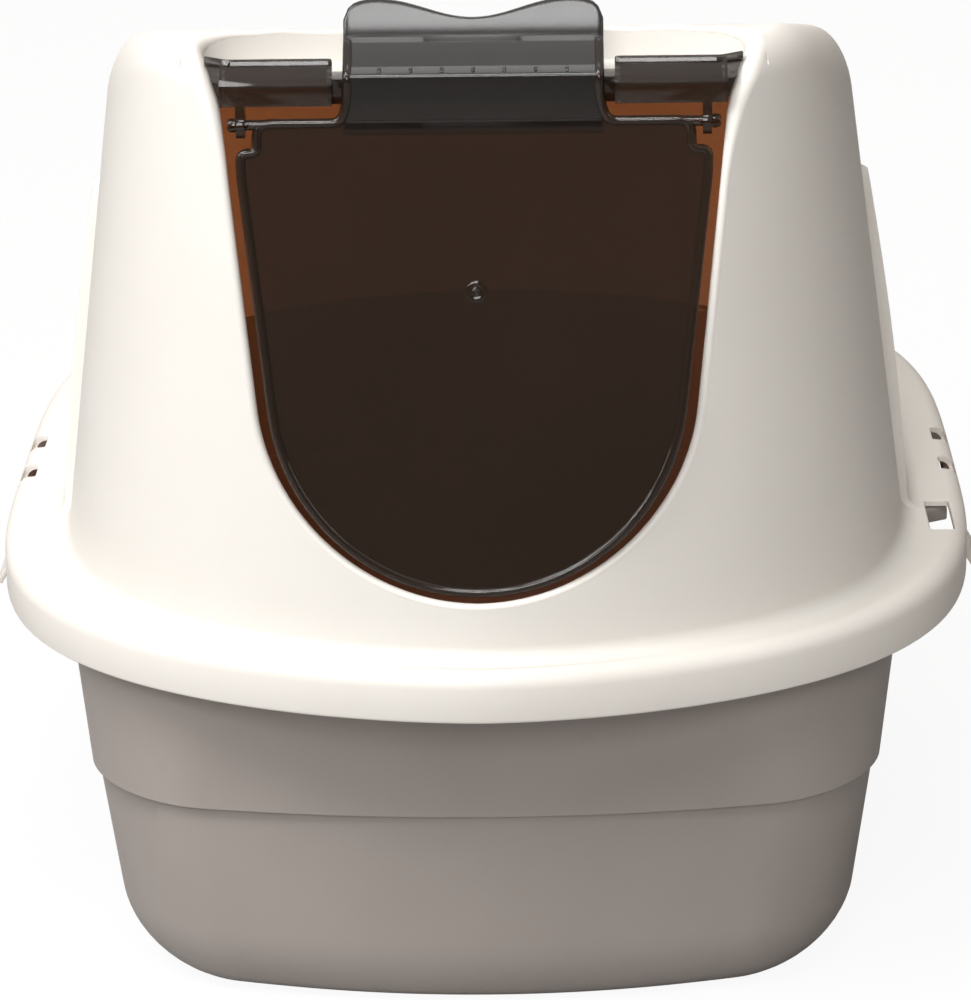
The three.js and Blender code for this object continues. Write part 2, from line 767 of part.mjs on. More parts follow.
function makeHingeBar() {
  const tailZ = nicheFloor + seatGap + barWall / 2 - hingePlace.z;
  const tailLow = tailZ - barWall / 2;
  const tailHigh = tailZ + barWall / 2;
  const ledgeFront = nicheLedgeFront - hingePlace.y;
  const wingView = strip([
    v2(barTailEnd, tailZ),
    v2(ledgeFront - barWall, tailZ),
    v2(wingLip.rear, tailHigh + barWall / 2),
    v2(wingLip.rear - barWall / 2, wingLip.top - barWall),
    v2(wingLip.rear - barWall - barWall / 2, wingLip.top - barWall / 2),
    v2(wingBrow.y + barWall, wingBrow.z + barWall / 2),
    v2(wingBrow.y, wingBrow.z - barWall / 2),
    v2(wingBrow.y - barWall / 4, wingSill),
  ], barWall);
  const endView = [
    v2(barTailEnd - barWall, tailLow),
    v2(barTailEnd - barWall, tailHigh),
    v2(wingLip.rear, tailHigh + barWall / 2),
    v2(wingLip.rear - barWall, wingLip.top - barWall / 2),
    v2(wingBrow.y, wingBrow.z),
    v2(wingBrow.y - barWall / 4, wingSill),
    v2(wingLip.rear - barWall, wingSill),
    v2(wingLip.rear, tailLow),
  ];
  const bridgeEnd = wingInner + barWall;
  const bridgeRear = barBridge.front + barWall;
  const pieces = [
    box(v3(-bridgeEnd, barBridge.front, barBridge.bottom), v3(bridgeEnd, bridgeRear, tailHigh)),
    box(v3(-bridgeEnd, barBridge.front, tailLow), v3(bridgeEnd, barTailEnd, tailHigh)),
  ];
  const pegPlace = (ledgeFront + barTailEnd) / 2;
  const pegEnd = tailLow - wall - seatGap * 2;
  [-1, 1].forEach((side) => {
    pieces.push(plateAlongX(wingView, ...stretch(side, wingInner, wingOuter)));
    [wingInner, wingOuter - barWall].forEach((x) => {
      pieces.push(plateAlongX(endView, ...stretch(side, x, x + barWall)));
    });
    const [from, to] = stretch(side, earMiddle - earThickness / 2, earMiddle + earThickness / 2);
    pieces.push(rod(earRadius, from, to, 0, 0));
    pieces.push(box(v3(from, -earNeck, 0), v3(to, earRadius, wingSill + barWall)));
    pieces.push(post(barPeg.radius, side * barPeg.place, pegPlace, pegEnd, tailZ));
  });
  const pinHoles = [-1, 1].map((side) => rod(
    pinRadius + pinClearance, ...stretch(side, earMiddle - earThickness, wingOuter), 0, 0,
  ));
  return cut(join(pieces), pinHoles);
}

// Door, drawn in its own frame and leaned about the hinge

function doorOutline() {
  const drop = (p) => v2(p.x, (p.y - hingePlace.z) / Math.cos(THREE.MathUtils.degToRad(doorLean)));
  const kneeTop = hingePlace.z + doorHip - doorCorner * 2;
  const half = entranceHalf(doorGapSide + doorBead, doorGapSill + doorBead, doorTaper, kneeTop, false)
    .map(drop);
  const hip = half[half.length - 1].x;
  half.push(v2(hip, doorHip - doorCorner));
  half.push(v2(hip, doorHip));
  half.push(v2(hip - doorNick, doorHip + doorCorner / 2));
  half.push(v2(doorShoulderHalfWidth + doorCorner / 2, doorHip + doorCorner));
  half.push(v2(doorShoulderHalfWidth, doorHip + doorCorner + doorCorner / 2));
  half.push(v2(doorShoulderHalfWidth, doorShoulder - doorCorner));
  half.push(v2(doorShoulderHalfWidth - doorNick, doorShoulder - doorNick));
  half.push(v2(doorShoulderHalfWidth - doorCorner, doorShoulder));
  return bothSides(half);
}

// Round bead of even thickness along a closed outline in x and z.
function bead(outline, radius, sides) {
  const count = outline.length;
  const positions = [];
  const index = [];
  outline.forEach((p, i) => {
    const before = outline[(i + count - 1) % count];
    const after = outline[(i + 1) % count];
    const d = after.clone().sub(before).normalize();
    for (let k = 0; k < sides; k++) {
      const angle = (k / sides) * Math.PI * 2;
      const out = Math.cos(angle) * radius;
      positions.push(p.x + d.y * out, Math.sin(angle) * radius, p.y - d.x * out);
    }
  });
  for (let i = 0; i < count; i++) {
    for (let k = 0; k < sides; k++) {
      const a = i * sides + k;
      const b = i * sides + ((k + 1) % sides);
      const c = ((i + 1) % count) * sides + k;
      const d = ((i + 1) % count) * sides + ((k + 1) % sides);
      index.push(a, d, c, a, b, d);
    }
  }
  const geometry = new THREE.BufferGeometry();
  geometry.setAttribute('position', new THREE.Float32BufferAttribute(positions, 3));
  geometry.setIndex(index);
  return solid(geometry);
}

// Flap over the hinge bar: a bent plate with thicker edges, ribs inside its band, and a grip.
function makeFlap() {
  const footY = doorShoulder * Math.sin(THREE.MathUtils.degToRad(doorLean)) - flapThickness;
  const foot = [v2(footY, -doorBead), v2(footY + flapThickness / 2, doorShoulder)];
  const bends = [flapFace, flapBand, gripFoot].map((p) => v2(p.y, p.z));
  const grip = new THREE.SplineCurve([gripFoot, gripCove, gripTip].map((p) => v2(p.y, p.z)));
  const spine = [...foot, ...bends.slice(0, 2), ...grip.getPoints(roundSteps)];
  const pieces = [plateAlongX(strip(spine, flapThickness), -flapHalfWidth, flapHalfWidth)];
  [-1, 1].forEach((side) => {
    const span = stretch(side, flapHalfWidth - flapEdgeWidth, flapHalfWidth);
    pieces.push(plateAlongX(strip([...foot, ...bends], flapEdgeThickness), ...span));
  });
  const slope = Math.atan2(flapBand.z - flapFace.z, flapBand.y - flapFace.y);
  for (let i = 0; i < flapRib.count; i++) {
    const x = (i - (flapRib.count - 1) / 2) * flapRib.pitch;
    pieces.push(box(
      v3(x - flapRib.width / 2, -flapRib.length / 2, -flapRib.depth - flapThickness / 2),
      v3(x + flapRib.width / 2, flapRib.length / 2, 0),
    )
      .rotate([THREE.MathUtils.radToDeg(slope), 0, 0])
      .translate([0, (flapFace.y + flapBand.y) / 2, (flapFace.z + flapBand.z) / 2]));
  }
  return join(pieces).subtract(gripWave());
}

// What is cut off the grip's top edge: a dip between two humps, and rounded ends.
function gripWave() {
  const outline = [];
  const steps = roundSteps * 6;
  for (let i = 0; i <= steps; i++) {
    const share = (i / steps) * 2 - 1;
    const past = Math.max(0, Math.abs(share) - gripHump_share) / (1 - gripHump_share);
    const dip = past ? 0 : (gripDip * (1 + Math.cos((Math.PI * share) / gripHump_share))) / 2;
    outline.push(v2(share * flapHalfWidth, gripTip.z - dip - gripEndDrop * past * past));
  }
  const side = flapHalfWidth + doorCorner;
  outline.push(v2(side, gripTip.z - gripEndDrop));
  outline.push(v2(side, gripTip.z + overrun));
  outline.push(v2(-side, gripTip.z + overrun));
  outline.push(v2(-side, gripTip.z - gripEndDrop));
  return plateAlongY(outline, 0, gripTip.y + overrun);
}

// Hinge pin with a split head outside the ear.
function doorPin(side) {
  const headFrom = earMiddle + earThickness / 2 + pinClearance;
  const slotFrom = doorShoulderHalfWidth + doorCorner;
  const [low, high] = stretch(side, slotFrom, pinReach + doorNick);
  return rod(pinRadius, ...stretch(side, doorShoulderHalfWidth - doorCorner, pinReach), 0, 0)
    .add(rod(pinHead, ...stretch(side, headFrom, pinReach), 0, 0))
    .subtract(box(v3(low, -overrun, -pinSlot / 2), v3(high, overrun, pinSlot / 2)));
}

function makeDoor() {
  const outline = doorOutline();
  const leaned = plateAlongY(outline, -doorThickness / 2, doorThickness / 2)
    .add(bead(outline, doorBead, beadSides))
    .rotate([-doorLean, 0, 0]);
  return join([leaned, makeFlap(), doorPin(-1), doorPin(1)]);
}

// Side latch, drawn shut in the frame of its pin: x outwards, z up

function makeLatch() {
  const face = flangeHalfWidth - latchPin.x;
  const view = [
    v2(face - latchThickness, latchPin.radius),
    v2(face, 0),
    v2(face, -latchDrop + latchLip.height),
    v2(face + latchLip.reach, -latchDrop),
    v2(face + latchLip.reach - latchThickness, -latchDrop),
    v2(face - latchThickness, -latchDrop + latchLip.height),
  ];
  const body = plateAlongY(view, -latchHalfLength, latchHalfLength);
  const barrel = crossRod(latchBarrel, -latchHalfLength, latchHalfLength, 0, 0);
  const pin = crossRod(latchPin.radius, -lugOuter, lugOuter, 0, 0);
  const top = trayRimTop - gripDrop - latchPin.z - latchNose.below;
  const nose = plateAlongY([
    v2(face - latchThickness, top),
    v2(face - latchThickness - latchNose.reach, top),
    v2(face - latchThickness, top - latchNose.height),
  ], -latchNose.halfLength, latchNose.halfLength);
  return join([body, barrel, pin, nose]);
}

// Filter pad and cover, in the pocket's frame

function makePad() {
  const half = v2(pocketWidth / 2 - padMargin, pocketLength / 2 - padMargin);
  const shape = new THREE.Shape();
  const corner = padMargin;
  shape.moveTo(-half.x + corner, -half.y);
  shape.lineTo(half.x - corner, -half.y);
  shape.quadraticCurveTo(half.x, -half.y, half.x, -half.y + corner);
  shape.lineTo(half.x, half.y - corner);
  shape.quadraticCurveTo(half.x, half.y, half.x - corner, half.y);
  shape.lineTo(-half.x + corner, half.y);
  shape.quadraticCurveTo(-half.x, half.y, -half.x, half.y - corner);
  shape.lineTo(-half.x, -half.y + corner);
  shape.quadraticCurveTo(-half.x, -half.y, -half.x + corner, -half.y);
  const bottom = -pocketDepth + seatGap;
  return plateUp(shape.getPoints(roundSteps), bottom, bottom + padThickness);
}

function makeCover() {
  const half = v2(pocketWidth / 2 - coverGap, pocketLength / 2 - coverGap);
  const top = -coverSink;
  const plate = box(v3(-half.x, coverHinge.y, top - coverThickness), v3(half.x, half.y, top));
  const barrel = rod(coverBarrel, -half.x, half.x, coverHinge.y, coverHinge.z);
  const pinEnd = half.x + coverPin.reach;
  const pins = rod(coverPin.radius, -pinEnd, pinEnd, coverHinge.y, coverHinge.z);
  const notch = post(thumbNotch, 0, half.y + thumbNotch / 2, -overrun, overrun);
  return cut(join([plate, barrel, pins]), [...ventSlots(-overrun, overrun), notch]);
}

// Assembly

const litterBox = new THREE.Group();

const tray = mesh('tray', makeTray(), taupe);
const hood = mesh('hood', makeHood(), cream);
const hingeBar = mesh('hinge_bar', makeHingeBar(), smoke);
hingeBar.position.set(0, hingePlace.y, hingePlace.z);
const door = mesh('door', makeDoor(), smoke);
door.position.set(0, hingePlace.y, hingePlace.z);
litterBox.add(tray, hood, hingeBar, door);

[['latch_right', 1], ['latch_left', -1]].forEach(([name, side]) => {
  const latch = mesh(name, makeLatch(), cream);
  latch.applyMatrix4(latchPose(side));
  litterBox.add(latch);
});

const filter = new THREE.Group();
filter.applyMatrix4(pocketPose);
filter.add(mesh('carbon_filter', makePad(), charcoal), mesh('filter_cover', makeCover(), cream));
litterBox.add(filter);

export default litterBox;
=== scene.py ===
# Covered cat litter box: a deep taupe tray, a cream hood that drops over its rim, a smoky swing
# door hung from a hinge bar in the hood's entrance, two side latches, and a carbon filter under a
# vent cover in the roof. The script follows the box as it is put together, from the tray up.

import math

import bmesh
import bpy
import numpy as np
from mathutils import Matrix, Vector
from mathutils.bvhtree import BVHTree


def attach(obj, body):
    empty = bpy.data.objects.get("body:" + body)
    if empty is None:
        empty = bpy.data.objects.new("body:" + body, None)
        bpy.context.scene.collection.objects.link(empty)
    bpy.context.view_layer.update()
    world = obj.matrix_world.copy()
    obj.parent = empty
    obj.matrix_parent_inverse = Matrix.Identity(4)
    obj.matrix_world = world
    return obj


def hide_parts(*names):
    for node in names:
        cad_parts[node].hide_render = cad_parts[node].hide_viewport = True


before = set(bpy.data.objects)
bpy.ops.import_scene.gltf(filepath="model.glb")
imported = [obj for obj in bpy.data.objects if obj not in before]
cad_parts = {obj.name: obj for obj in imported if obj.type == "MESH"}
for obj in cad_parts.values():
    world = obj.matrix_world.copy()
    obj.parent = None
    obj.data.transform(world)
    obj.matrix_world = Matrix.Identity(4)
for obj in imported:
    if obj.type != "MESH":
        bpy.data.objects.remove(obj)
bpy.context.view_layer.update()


# Tray
# A deep open tub, injection moulded in taupe polypropylene with a fine grain. Its wall steps
# outwards half way up and ends in a wide flat rim with a downturned lip, which carries the hood.
MM = 0.001
wall = 2.5

tray_half_width = 157.7
tray_half_length = 227
tray_end_bow = 22.7
tray_corner = 45.7
tray_corner_growth = 0.27
tray_least_corner = 6
tray_side_draft = 0.136
tray_end_draft = 0.03
tray_step_height = 84
tray_step_out = 2.6
tray_step_rise = 1
tray_floor = 3
tray_bottom_round = {"side": 29, "end": 14}
tray_rim_top = 158.2
rim_width = 28
rim_drop = 7
rim_clearance = 5.2
rim_round = 1.2
foot_inset = 14
foot_recess = 1
foot_round = 1.5
grip_half_width = 25
grip_drop = 16
latch_middle = -2
scoop_slot = {"middle": 189, "width": 10, "length": 36, "place": -91}
rim_notch_margin = 2
tray_side_reach = 134
tray_pitch = 7
flange_half_width = 202.5
flange_half_length = 270
flange_power = {"x": 1.72, "y": 3.8}


def srgb(red, green, blue):
    """A colour given in 0 to 255 steps, as the shaders take it."""
    parts = []
    for step in (red, green, blue):
        share = step / 255
        parts.append(share / 12.92 if share <= 0.04045 else ((share + 0.055) / 1.055) ** 2.4)
    return (*parts, 1.0)


class Signal:
    """A shader socket that can be written into sums; each operator adds one Math node."""

    def __init__(self, finish, socket):
        self.finish = finish
        self.socket = socket

    def sum_with(self, operation, first, second):
        return self.finish.node("ShaderNodeMath", {"operation": operation}, {0: first, 1: second})

    def __add__(self, other):
        return self.sum_with("ADD", self, other)

    def __sub__(self, other):
        return self.sum_with("SUBTRACT", self, other)

    def __mul__(self, other):
        return self.sum_with("MULTIPLY", self, other)

    def __radd__(self, other):
        return self.sum_with("ADD", other, self)

    def __rsub__(self, other):
        return self.sum_with("SUBTRACT", other, self)

    def __rmul__(self, other):
        return self.sum_with("MULTIPLY", other, self)


class Finish:
    """A material under construction, with one method that makes its nodes."""

    def __init__(self, owner):
        self.owner = bpy.data.materials.new(owner) if isinstance(owner, str) else owner
        self.owner.use_nodes = True
        self.tree = self.owner.node_tree
        self.tree.nodes.clear()

    def node(self, kind, settings, sockets, output=0):
        made = self.tree.nodes.new(kind)
        for key, value in settings.items():
            setattr(made, key, value)
        for key, value in sockets.items():
            if isinstance(value, Signal):
                self.tree.links.new(value.socket, made.inputs[key])
            else:
                made.inputs[key].default_value = value
        return Signal(self, made.outputs[output]) if made.outputs else made

    def place(self):
        return self.node("ShaderNodeTexCoord", {}, {}, "Object")

    def noise(self, scale, detail, roughness=0.5):
        sockets = {"Vector": self.place(), "Scale": scale, "Detail": detail, "Roughness": roughness}
        return self.node("ShaderNodeTexNoise", {}, sockets, "Fac")

    def spread(self, value, low, high):
        """What lies between low and high, stretched to 0 and 1."""
        sockets = {0: value, 1: low, 2: high, 3: 0.0, 4: 1.0}
        return self.node("ShaderNodeMapRange", {"clamp": True}, sockets)

    def tint(self, share, first, second):
        settings = {"data_type": "RGBA", "blend_type": "MIX"}
        return self.node("ShaderNodeMix", settings, {0: share, 6: first, 7: second}, 2)

    def bump(self, height, depth, strength, under=None):
        sockets = {"Height": height, "Distance": depth, "Strength": strength}
        if under:
            sockets["Normal"] = under
        return self.node("ShaderNodeBump", {}, sockets)

    def close(self, shader):
        self.node("ShaderNodeOutputMaterial", {}, {"Surface": shader})
        return self.owner


def grained_plastic(name, colour, darker, roughness, glow=None):
    """Moulded plastic with a fine spark-eroded grain, faint flow marks and a soft sheen. A glow
    lets some light through the wall, in that colour."""
    finish = Finish(name)
    grain = finish.noise(2600, 2)
    flow = finish.noise(9, 3, 0.6)
    scuffs = finish.spread(finish.noise(60, 5, 0.7), 0.62, 0.8)
    patches = finish.spread(flow, 0.35, 0.7)
    base = finish.tint(patches * 0.5 + scuffs * 0.3, colour, darker)
    ripple = finish.bump(flow, 0.0006, 0.25)
    relief = finish.bump(grain, 0.00003, 0.6, ripple)
    shader = finish.node("ShaderNodeBsdfPrincipled", {}, {
        "Base Color": base,
        "Roughness": roughness + patches * 0.05 + scuffs * 0.08,
        "IOR": 1.47,
        "Specular IOR Level": 0.45,
        "Normal": relief,
    })
    if glow:
        through = finish.node("ShaderNodeBsdfTranslucent", {}, {"Color": glow["colour"]})
        shader = finish.node("ShaderNodeMixShader", {}, {0: glow["share"], 1: shader, 2: through})
    return finish.close(shader)


def smoothstep(low, high, value):
    share = np.clip((value - low) / (high - low), 0, 1)
    return share * share * (3 - 2 * share)


def quarter(steps):
    """Steps round a quarter circle of radius 1: how far it has come along, and what is still to go."""
    return [(1 - math.cos(a), 1 - math.sin(a)) for a in np.linspace(0, math.pi / 2, steps)]


def side_places(reach, pitch, close_stretches, close_pitch=1.0):
    """Places along a long side, close together where something sharp crosses it."""
    places = [-reach, reach]
    start = -reach
    for low, high in sorted(close_stretches) + [(reach, reach)]:
        if low > start:
            places += list(np.linspace(start, low, max(2, round((low - start) / pitch) + 1)))
        if high > low:
            places += list(np.linspace(low, high, round((high - low) / close_pitch) + 1))
        start = high
    return np.unique(np.round(places, 4))


def loft(rings, caps=(True, True)):
    """Corners and faces of the surface through rings of points, with a fan at each closed end."""
    count = len(rings[0])
    corners = np.vstack(rings)
    faces = []
    for row in range(len(rings) - 1):
        for i in range(count):
            j = (i + 1) % count
            low, high = row * count, (row + 1) * count
            faces.append((low + i, low + j, high + j, high + i))
    for end, closed in enumerate(caps):
        if not closed:
            continue
        start = end * (len(rings) - 1) * count
        middle = len(corners)
        corners = np.vstack([corners, corners[start:start + count].mean(axis=0)])
        for i in range(count):
            j = (i + 1) % count
            pair = (start + i, start + j) if end else (start + j, start + i)
            faces.append((*pair, middle))
    return corners, faces


def shape(name, corners, faces, sharp=35, pose=None):
    """An object in metres from corners in millimetres, smooth apart from its sharp edges."""
    data = bpy.data.meshes.new(name)
    data.from_pydata([tuple(p) for p in np.asarray(corners) * MM], [], faces)
    made = bpy.data.objects.new(name, data)
    bpy.context.scene.collection.objects.link(made)
    if pose is not None:
        data.transform(pose)
    net = bmesh.new()
    net.from_mesh(data)
    bmesh.ops.recalc_face_normals(net, faces=net.faces)
    net.to_mesh(data)
    net.free()
    soften(made, sharp)
    return made


def soften(made, sharp):
    made.data.shade_smooth()
    made.data.set_sharp_from_angle(angle=math.radians(sharp))


def dress(made, material, body, slot_name, *nodes):
    """Gives a piece its material and its body, and hides the nodes that it stands for. Its slot name
    is not used.
    """
    made.data.materials.clear()
    made.data.materials.append(material)
    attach(made, body)
    if nodes:
        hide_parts(*nodes)


notch_half = scoop_slot["length"] / 2 + rim_notch_margin
notch_ends = (scoop_slot["place"] - notch_half, scoop_slot["place"] + notch_half)
grip_ends = (latch_middle - grip_half_width, latch_middle + grip_half_width)
crisp = 0.6
tray_places = side_places(
    tray_side_reach, tray_pitch,
    [(end - crisp, end + crisp) for end in (*notch_ends, *grip_ends)], crisp)


def tray_ring(z, grow_side, grow_end):
    """The tray's outline at a height: straight sides, round corners and swelling ends."""
    rise = z - tray_step_height
    half = tray_half_width + tray_side_draft * rise + grow_side
    square_end = tray_half_length + tray_end_draft * rise + grow_end - tray_end_bow
    corner = max(tray_least_corner, tray_corner + tray_corner_growth * max(0, rise) + grow_side)
    side_end = square_end - corner
    turn = np.linspace(0, math.pi / 2, 18)
    run_up = np.linspace(tray_places[-1], side_end, 6)[1:-1]
    x = np.concatenate([
        np.full(len(run_up), half),
        half - corner + corner * np.cos(turn),
        np.linspace(half - corner, 0, 16)[1:],
    ])
    y = np.concatenate([run_up, side_end + corner * np.sin(turn), np.full(15, square_end)])
    y = y + tray_end_bow * y / square_end * (1 - (x / half) ** 2)
    return round_trip(np.full(len(tray_places), half), tray_places, (x, y), (x, y))


def round_trip(side_x, side_y, rear, front):
    """A whole outline from its right side and the halves of its ends, each run to the middle."""
    rear_x, rear_y = rear
    front_x, front_y = front
    x = np.concatenate([
        side_x, rear_x, -rear_x[-2::-1], -side_x[::-1], -front_x, front_x[-2::-1],
    ])
    y = np.concatenate([
        side_y, rear_y, rear_y[-2::-1], side_y[::-1], -front_y, -front_y[-2::-1],
    ])
    return np.stack([x, y], axis=1)


def level(ring, z):
    return np.column_stack([ring, np.broadcast_to(z, len(ring))])


def within(ring, half_width, half_length, power):
    """An outline pulled in along its own rays where it passes a superellipse."""
    size = (np.abs(ring[:, 0]) / half_width) ** power["x"]
    size = size + (np.abs(ring[:, 1]) / half_length) ** power["y"]
    mean_power = (power["x"] + power["y"]) / 2
    pull = np.where(size > 1, size ** (-1 / mean_power), 1)
    for _ in range(12):
        x, y = ring[:, 0] * pull, ring[:, 1] * pull
        size = (np.abs(x) / half_width) ** power["x"] + (np.abs(y) / half_length) ** power["y"]
        pull = np.where(size > 1, pull * size ** (-1 / mean_power), pull)
    return ring * pull[:, None]


def rim_ring(inset):
    """The rim's outline, kept inside the hood's skirt and back from the scoop slot."""
    reach = tray_step_out + rim_width - inset
    ring = tray_ring(tray_rim_top, reach, reach)
    limit = wall + rim_clearance + inset
    ring = within(ring, flange_half_width - limit, flange_half_length - limit, flange_power)
    edge = scoop_slot["middle"] - scoop_slot["width"] / 2 - rim_notch_margin - inset
    cut = (ring[:, 1] > notch_ends[0] - inset) & (ring[:, 1] < notch_ends[1] + inset)
    ring[:, 0] = np.where(cut & (ring[:, 0] > edge), edge, ring[:, 0])
    return ring


def lip_bottom(ring):
    """The lip hangs lower by each latch, where it is pulled on to open the box."""
    near = np.abs(ring[:, 1] - latch_middle) < grip_half_width
    deep = near & (np.abs(ring[:, 0]) > tray_half_width)
    return tray_rim_top - np.where(deep, grip_drop, rim_drop)


def tray_skin(grow, floor, steps):
    """Outlines of the tub from the start of its bottom round to just under its rim."""
    rings = []
    side = tray_bottom_round["side"] + grow
    end = tray_bottom_round["end"] + grow
    for rise, inwards in quarter(steps):
        z = floor + side * rise
        rings.append(level(tray_ring(z, grow - side * inwards, grow - end * inwards), z))
    out = grow + tray_step_out
    low = tray_step_height - grow
    for share in (0.5, 0.8, 1):
        z = floor + side + (low - floor - side) * share
        rings.append(level(tray_ring(z, grow, grow), z))
    for angle in np.linspace(0, math.pi, 9)[1:]:
        step = tray_step_out * (1 - math.cos(angle)) / 2
        z = low + tray_step_rise * (angle / math.pi)
        rings.append(level(tray_ring(z, grow + step, grow + step), z))
    for share in (0.04, 0.3, 0.65, 1):
        z = low + tray_step_rise + (tray_rim_top - wall - rim_round - low - tray_step_rise) * share
        rings.append(level(tray_ring(z, out, out), z))
    return rings


foot_ring = (-tray_bottom_round["side"] - foot_inset, -tray_bottom_round["end"] - foot_inset)
tray_rings = [level(tray_ring(0, *foot_ring) * share, foot_recess) for share in (0.3, 0.7, 0.99)]
for out, low in quarter(5):
    ring = tray_ring(0, *(reach + foot_round * out for reach in foot_ring))
    tray_rings.append(level(ring, foot_recess * low))
tray_rings += tray_skin(0, 0, 14)
rim_root = tray_ring(tray_rim_top - wall, tray_step_out + rim_round, tray_step_out + rim_round)
tray_rings.append(level(rim_root, tray_rim_top - wall))
rim_inner = rim_ring(wall)
tray_rings.append(level(rim_root + (rim_inner - rim_root) * 0.5, tray_rim_top - wall))
tray_rings.append(level(rim_ring(wall + rim_round), tray_rim_top - wall))
tray_rings.append(level(rim_inner, tray_rim_top - wall - rim_round))
lip_low = lip_bottom(rim_inner)
tray_rings.append(level(rim_inner, lip_low + rim_round))
for turn in np.linspace(0, math.pi, 5):
    inset = wall / 2 * (1 + math.cos(turn))
    tray_rings.append(level(rim_ring(inset), lip_low + rim_round * (1 - math.sin(turn))))
for inset, low in quarter(5):
    z = tray_rim_top - 2 * rim_round * low
    tray_rings.append(level(rim_ring(2 * rim_round * inset), z))
mouth_half = tray_step_out - wall
outer_top = rim_ring(2 * rim_round)
mouth_edge = tray_ring(tray_rim_top, mouth_half + rim_round, mouth_half + rim_round)
for share in (0.25, 0.5, 0.75):
    tray_rings.append(level(outer_top + (mouth_edge - outer_top) * share, tray_rim_top))
for low, out in quarter(5):
    ring = tray_ring(tray_rim_top, mouth_half + rim_round * out, mouth_half + rim_round * out)
    tray_rings.append(level(ring, tray_rim_top - rim_round * low))
tray_rings += tray_skin(-wall, tray_floor, 12)[::-1]
floor_edge = tray_rings[-1]
tray_rings += [floor_edge * (share, share, 1) for share in (0.75, 0.5, 0.25)]

taupe = grained_plastic("taupe_plastic", srgb(154, 145, 139), srgb(142, 133, 127), 0.42)
tray = shape("tray_tub", *loft(tray_rings))
dress(tray, taupe, "tray", "taupe_plastic", "tray")


# Hood
# A cream polypropylene cover moulded in one piece: a flange with a hanging skirt that drops over
# the tray's rim, walls that narrow upwards, a raised panel on each flank, and a sloping roof.
seat_gap = 0.3
skirt_height = 20.7
flange_round = 7
skirt_round = 1.1
hood_half_width = 175
hood_half_length = 258
hood_foot_power = {"x": 1.72, "y": 4.1}
hood_crown_power = 2.3
hood_side_draft = 0.13
hood_end_draft = {"front": 0.025, "rear": 0.14}
foot_fillet = 6.5
roof_crest = 391
roof_crest_place = -180
roof_slope = 0.235
roof_radius = 2500
roof_round = 12.2
roof_drop = {"horn": 14, "flank": 24, "from": -205, "to": -150}
panel = {"front": -83, "rear": 185, "proud": 2.6, "below_roof": 57, "corner": 14, "edge": 1.1,
         "groove": 0.8, "groove_half": 1.0, "groove_fade": 20, "margin": 3}
panel_bulge = 2.2
hood_side_reach = 196
hood_pitch = 6
hair = 0.01

plate_top = tray_rim_top + seat_gap + wall
skirt_bottom = plate_top - skirt_height
panel_close = panel["corner"] + panel["margin"]
hood_places = side_places(hood_side_reach, hood_pitch, [
    (panel["front"] - panel["margin"], panel["front"] + panel_close),
    (panel["rear"] - panel_close, panel["rear"] + panel["margin"]),
])
end_turns = np.linspace(0, 1, 42)[1:]


def roof_height(y):
    back = np.maximum(0, y - roof_crest_place)
    return roof_crest - roof_slope * back - back * back / (2 * roof_radius)


def crown_drop(y):
    """How far below the roof the walls begin to round over."""
    share = smoothstep(roof_drop["from"], roof_drop["to"], y)
    return roof_drop["horn"] + (roof_drop["flank"] - roof_drop["horn"]) * share


def super_ring(half_width, half_length, power):
    """A superellipse with the same columns of points as the hood's walls."""
    side_left = 1 - (np.abs(hood_places) / half_length) ** power["y"]
    side_x = half_width * side_left ** (1 / power["x"])
    start = math.asin((hood_places[-1] / half_length) ** (power["y"] / 2))
    angle = start + end_turns * (math.pi / 2 - start)
    end = (
        half_width * np.maximum(0, np.cos(angle)) ** (2 / power["x"]),
        half_length * np.sin(angle) ** (2 / power["y"]),
    )
    return round_trip(side_x, hood_places, end, end)


def hood_ring(heights, inset, grow):
    """The walls' outline where each column stands at a height given by where it is."""
    ring = super_ring(hood_half_width, hood_half_length, hood_foot_power)
    turns = np.tile(np.concatenate([
        np.zeros(len(hood_places)), end_turns, end_turns[-2::-1],
    ]), 2)
    on_side = turns == 0
    sign = np.sign(ring)
    y = ring[:, 1].copy()
    for _ in range(4):
        z = heights(y)
        rise = z - plate_top
        share = np.clip(rise / (roof_height(y) + grow - roof_drop["horn"] - plate_top), 0, 1)
        power_x = hood_foot_power["x"] + (hood_crown_power - hood_foot_power["x"]) * share
        power_y = hood_foot_power["y"]
        draft = np.where(y < 0, hood_end_draft["front"], hood_end_draft["rear"])
        half = hood_half_width + grow - inset - hood_side_draft * rise
        length = hood_half_length + grow - inset - draft * rise
        start = np.arcsin((hood_places[-1] / length) ** (power_y / 2))
        angle = start + turns * (math.pi / 2 - start)
        end_x = half * np.maximum(0, np.cos(angle)) ** (2 / power_x)
        end_y = length * np.sin(angle) ** (2 / power_y)
        side_x = half * np.maximum(0, 1 - (np.abs(y) / length) ** power_y) ** (1 / power_x)
        x = np.where(on_side, side_x, end_x) * sign[:, 0]
        y = np.where(on_side, y, end_y * sign[:, 1])
    return np.column_stack([x, y, heights(y)])


def panel_top(y):
    return roof_height(y) - panel["below_roof"]


